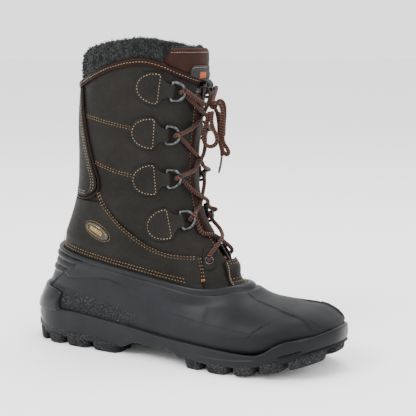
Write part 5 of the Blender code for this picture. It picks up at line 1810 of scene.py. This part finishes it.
def add_pull_tab():
    rows, back = [], []
    path = np.array([(p[0], p[2]) for p in curve([(x, 0, z) for x, z in (
        (21.4, 259), (25.5, 258.6), (29, 256.4), (29.6, 253.8), (26.5, 252.2), (17.8, 252.2))], 0.6)])
    run = unit(np.gradient(path, axis=0))
    u = 2 * shares(14, 8, 0.5) - 1
    for (x, z), (dx, dz) in zip(path, run):
        half = 0.6 - rounded(4.2 * (1 - np.abs(u)), 0.5)
        rows.append(np.stack([x - dz * half, 4.2 * u, z + dx * half], -1))
        back.append(np.stack([x + dz * half, 4.2 * u, z - dx * half], -1))
    dress(sheet_solid("pull_tab_visual", np.array(rows), np.array(back), WEBBING), "webbing", "pull_tab")


def add_lining():
    angles = np.linspace(0, 360, 220, endpoint=False)
    s = slide(top_s(angles, 1.0), 0.95, np.linspace(0, 1, 170)[:, None])
    a = np.broadcast_to(angles, s.shape)
    p, n = form(s, a), normal(s, a)
    lift = -6.5 + dip(p, 6.6)
    outer = p + n * (lift - 0.1)[..., None]
    inner = p + n * (lift - 3.7 - 0.9 * lumps(p) - 0.25 * wobble(p, 12))[..., None]
    obj = sheet_solid("lining_visual", outer, inner, LINING, wrap=True, cap=True, flip=True)
    dress(obj, "felt", "lining")


def add_footbed():
    x = -114 + 222 * (1 - np.cos(np.pi * np.linspace(0, 1, 90))) / 2
    u = 2 * shares(44, 50, 1.0) - 1
    lateral, medial = half_width(x, 1) + 29, half_width(x, -1) - 29
    middle, reach = (lateral + medial) / 2, np.abs(medial - lateral) / 2
    y = middle[:, None] + reach[:, None] * u
    top = spring(x)[:, None] + LUG_DEPTH + 20.8 + 0 * y
    p = np.stack([np.broadcast_to(x[:, None], y.shape), y, top], -1)
    rise = 0.16 * np.abs(u) ** 3 + 0.35 * lumps(p) - 0.2 - rounded(reach[:, None] * (1 - np.abs(u)), 0.9)
    up = np.array((0, 0, 1))
    obj = sheet_solid("footbed_visual", p + up * rise[..., None], p - up * 2.8, FELT, flip=True)
    dress(obj, "felt", "footbed")


def oval(frame, long_half, short_half, low, high, look, name, ring=0.0):
    """Oval plate, or ring of a given width, that follows the leather."""
    spot, out, long_axis, short_axis = frame

    def loop(shrink, lift):
        a, b = long_half - shrink, short_half - shrink
        points = []
        for t in np.linspace(0, 2 * np.pi, 72, endpoint=False):
            x = a * math.copysign(abs(math.cos(t)) ** 0.85, math.cos(t))
            y = b * math.copysign(abs(math.sin(t)) ** 0.85, math.sin(t))
            points.append(drape(spot + long_axis * x + short_axis * y, out, lift))
        return points

    if ring:
        loops = [loop(0.15, low), loop(0, high - 0.3), loop(0.25, high), loop(ring - 0.25, high),
                 loop(ring, high - 0.3), loop(ring, low)]
    else:
        loops = [loop(0, low), loop(0, high - 0.25), loop(0.3, high)]
        loops += [loop(short_half * f, high) for f in (0.35, 0.6, 0.8, 0.92)]
    faces = (ring_faces if ring else capped_faces)(len(loops), 72)
    obj = add_mesh(name, np.array(loops).reshape(-1, 3), faces, look)
    obj.data.set_sharp_from_angle(angle=math.radians(50))
    dress(obj, "badge_metal", "badge")


def add_badge():
    spot, forward, up, out = surface_frame(-67, 117, 1)
    tilt = math.radians(-25)
    long_axis = forward * math.cos(tilt) + up * math.sin(tilt)
    short_axis = up * math.cos(tilt) - forward * math.sin(tilt)
    frame = (spot, out, long_axis, short_axis)
    oval(frame, 13.4, 5.6, 2.1, 2.9, ENAMEL, "badge_field")
    oval(frame, 12.0, 4.5, 2.7, 3.5, GOLD, "badge_rim", ring=0.75)
    outer, inner = [], []
    v, u = 2 * shares(10, 4, 0.4) - 1, 2 * shares(24, 13, 0.4) - 1
    for b in v:
        spots = [spot + long_axis * (7.4 * a - 0.6) + short_axis * (2.0 * b) for a in u]
        drops = rounded(np.minimum(7.4 * (1 - np.abs(u)), 2.0 * (1 - abs(b))), 0.4)
        outer.append([drape(q, out, 3.55 - float(drop)) for q, drop in zip(spots, drops)])
        inner.append([drape(q, out, 2.8) for q in spots])
    dress(sheet_solid("badge_plaque", np.array(outer), np.array(inner), GOLD), "badge_metal", "badge")
    ring = [spot + long_axis * 15.2 * math.cos(t) + short_axis * 7.3 * math.sin(t)
            for t in np.linspace(0, 2 * math.pi, 80)]
    add_stitches("badge_seam", [leather_seam(ring, out, 2.1, 1.1)], THREAD, pitch=1.8, length=1.2, radius=0.3)


def dress_hidden():
    """Materials for the CAD pieces that stay as they are inside the sole."""
    for node, look in (("shank", STEEL), ("insole_board", BOARD)):
        for slot in bpy.data.objects[node].material_slots:
            slot.material = look


add_binding()
add_cuff()
add_tongue()
add_tongue_head()
add_tongue_patch()
add_tongue_label()
add_pull_tab()
add_lining()
add_footbed()
add_badge()
dress_hidden()
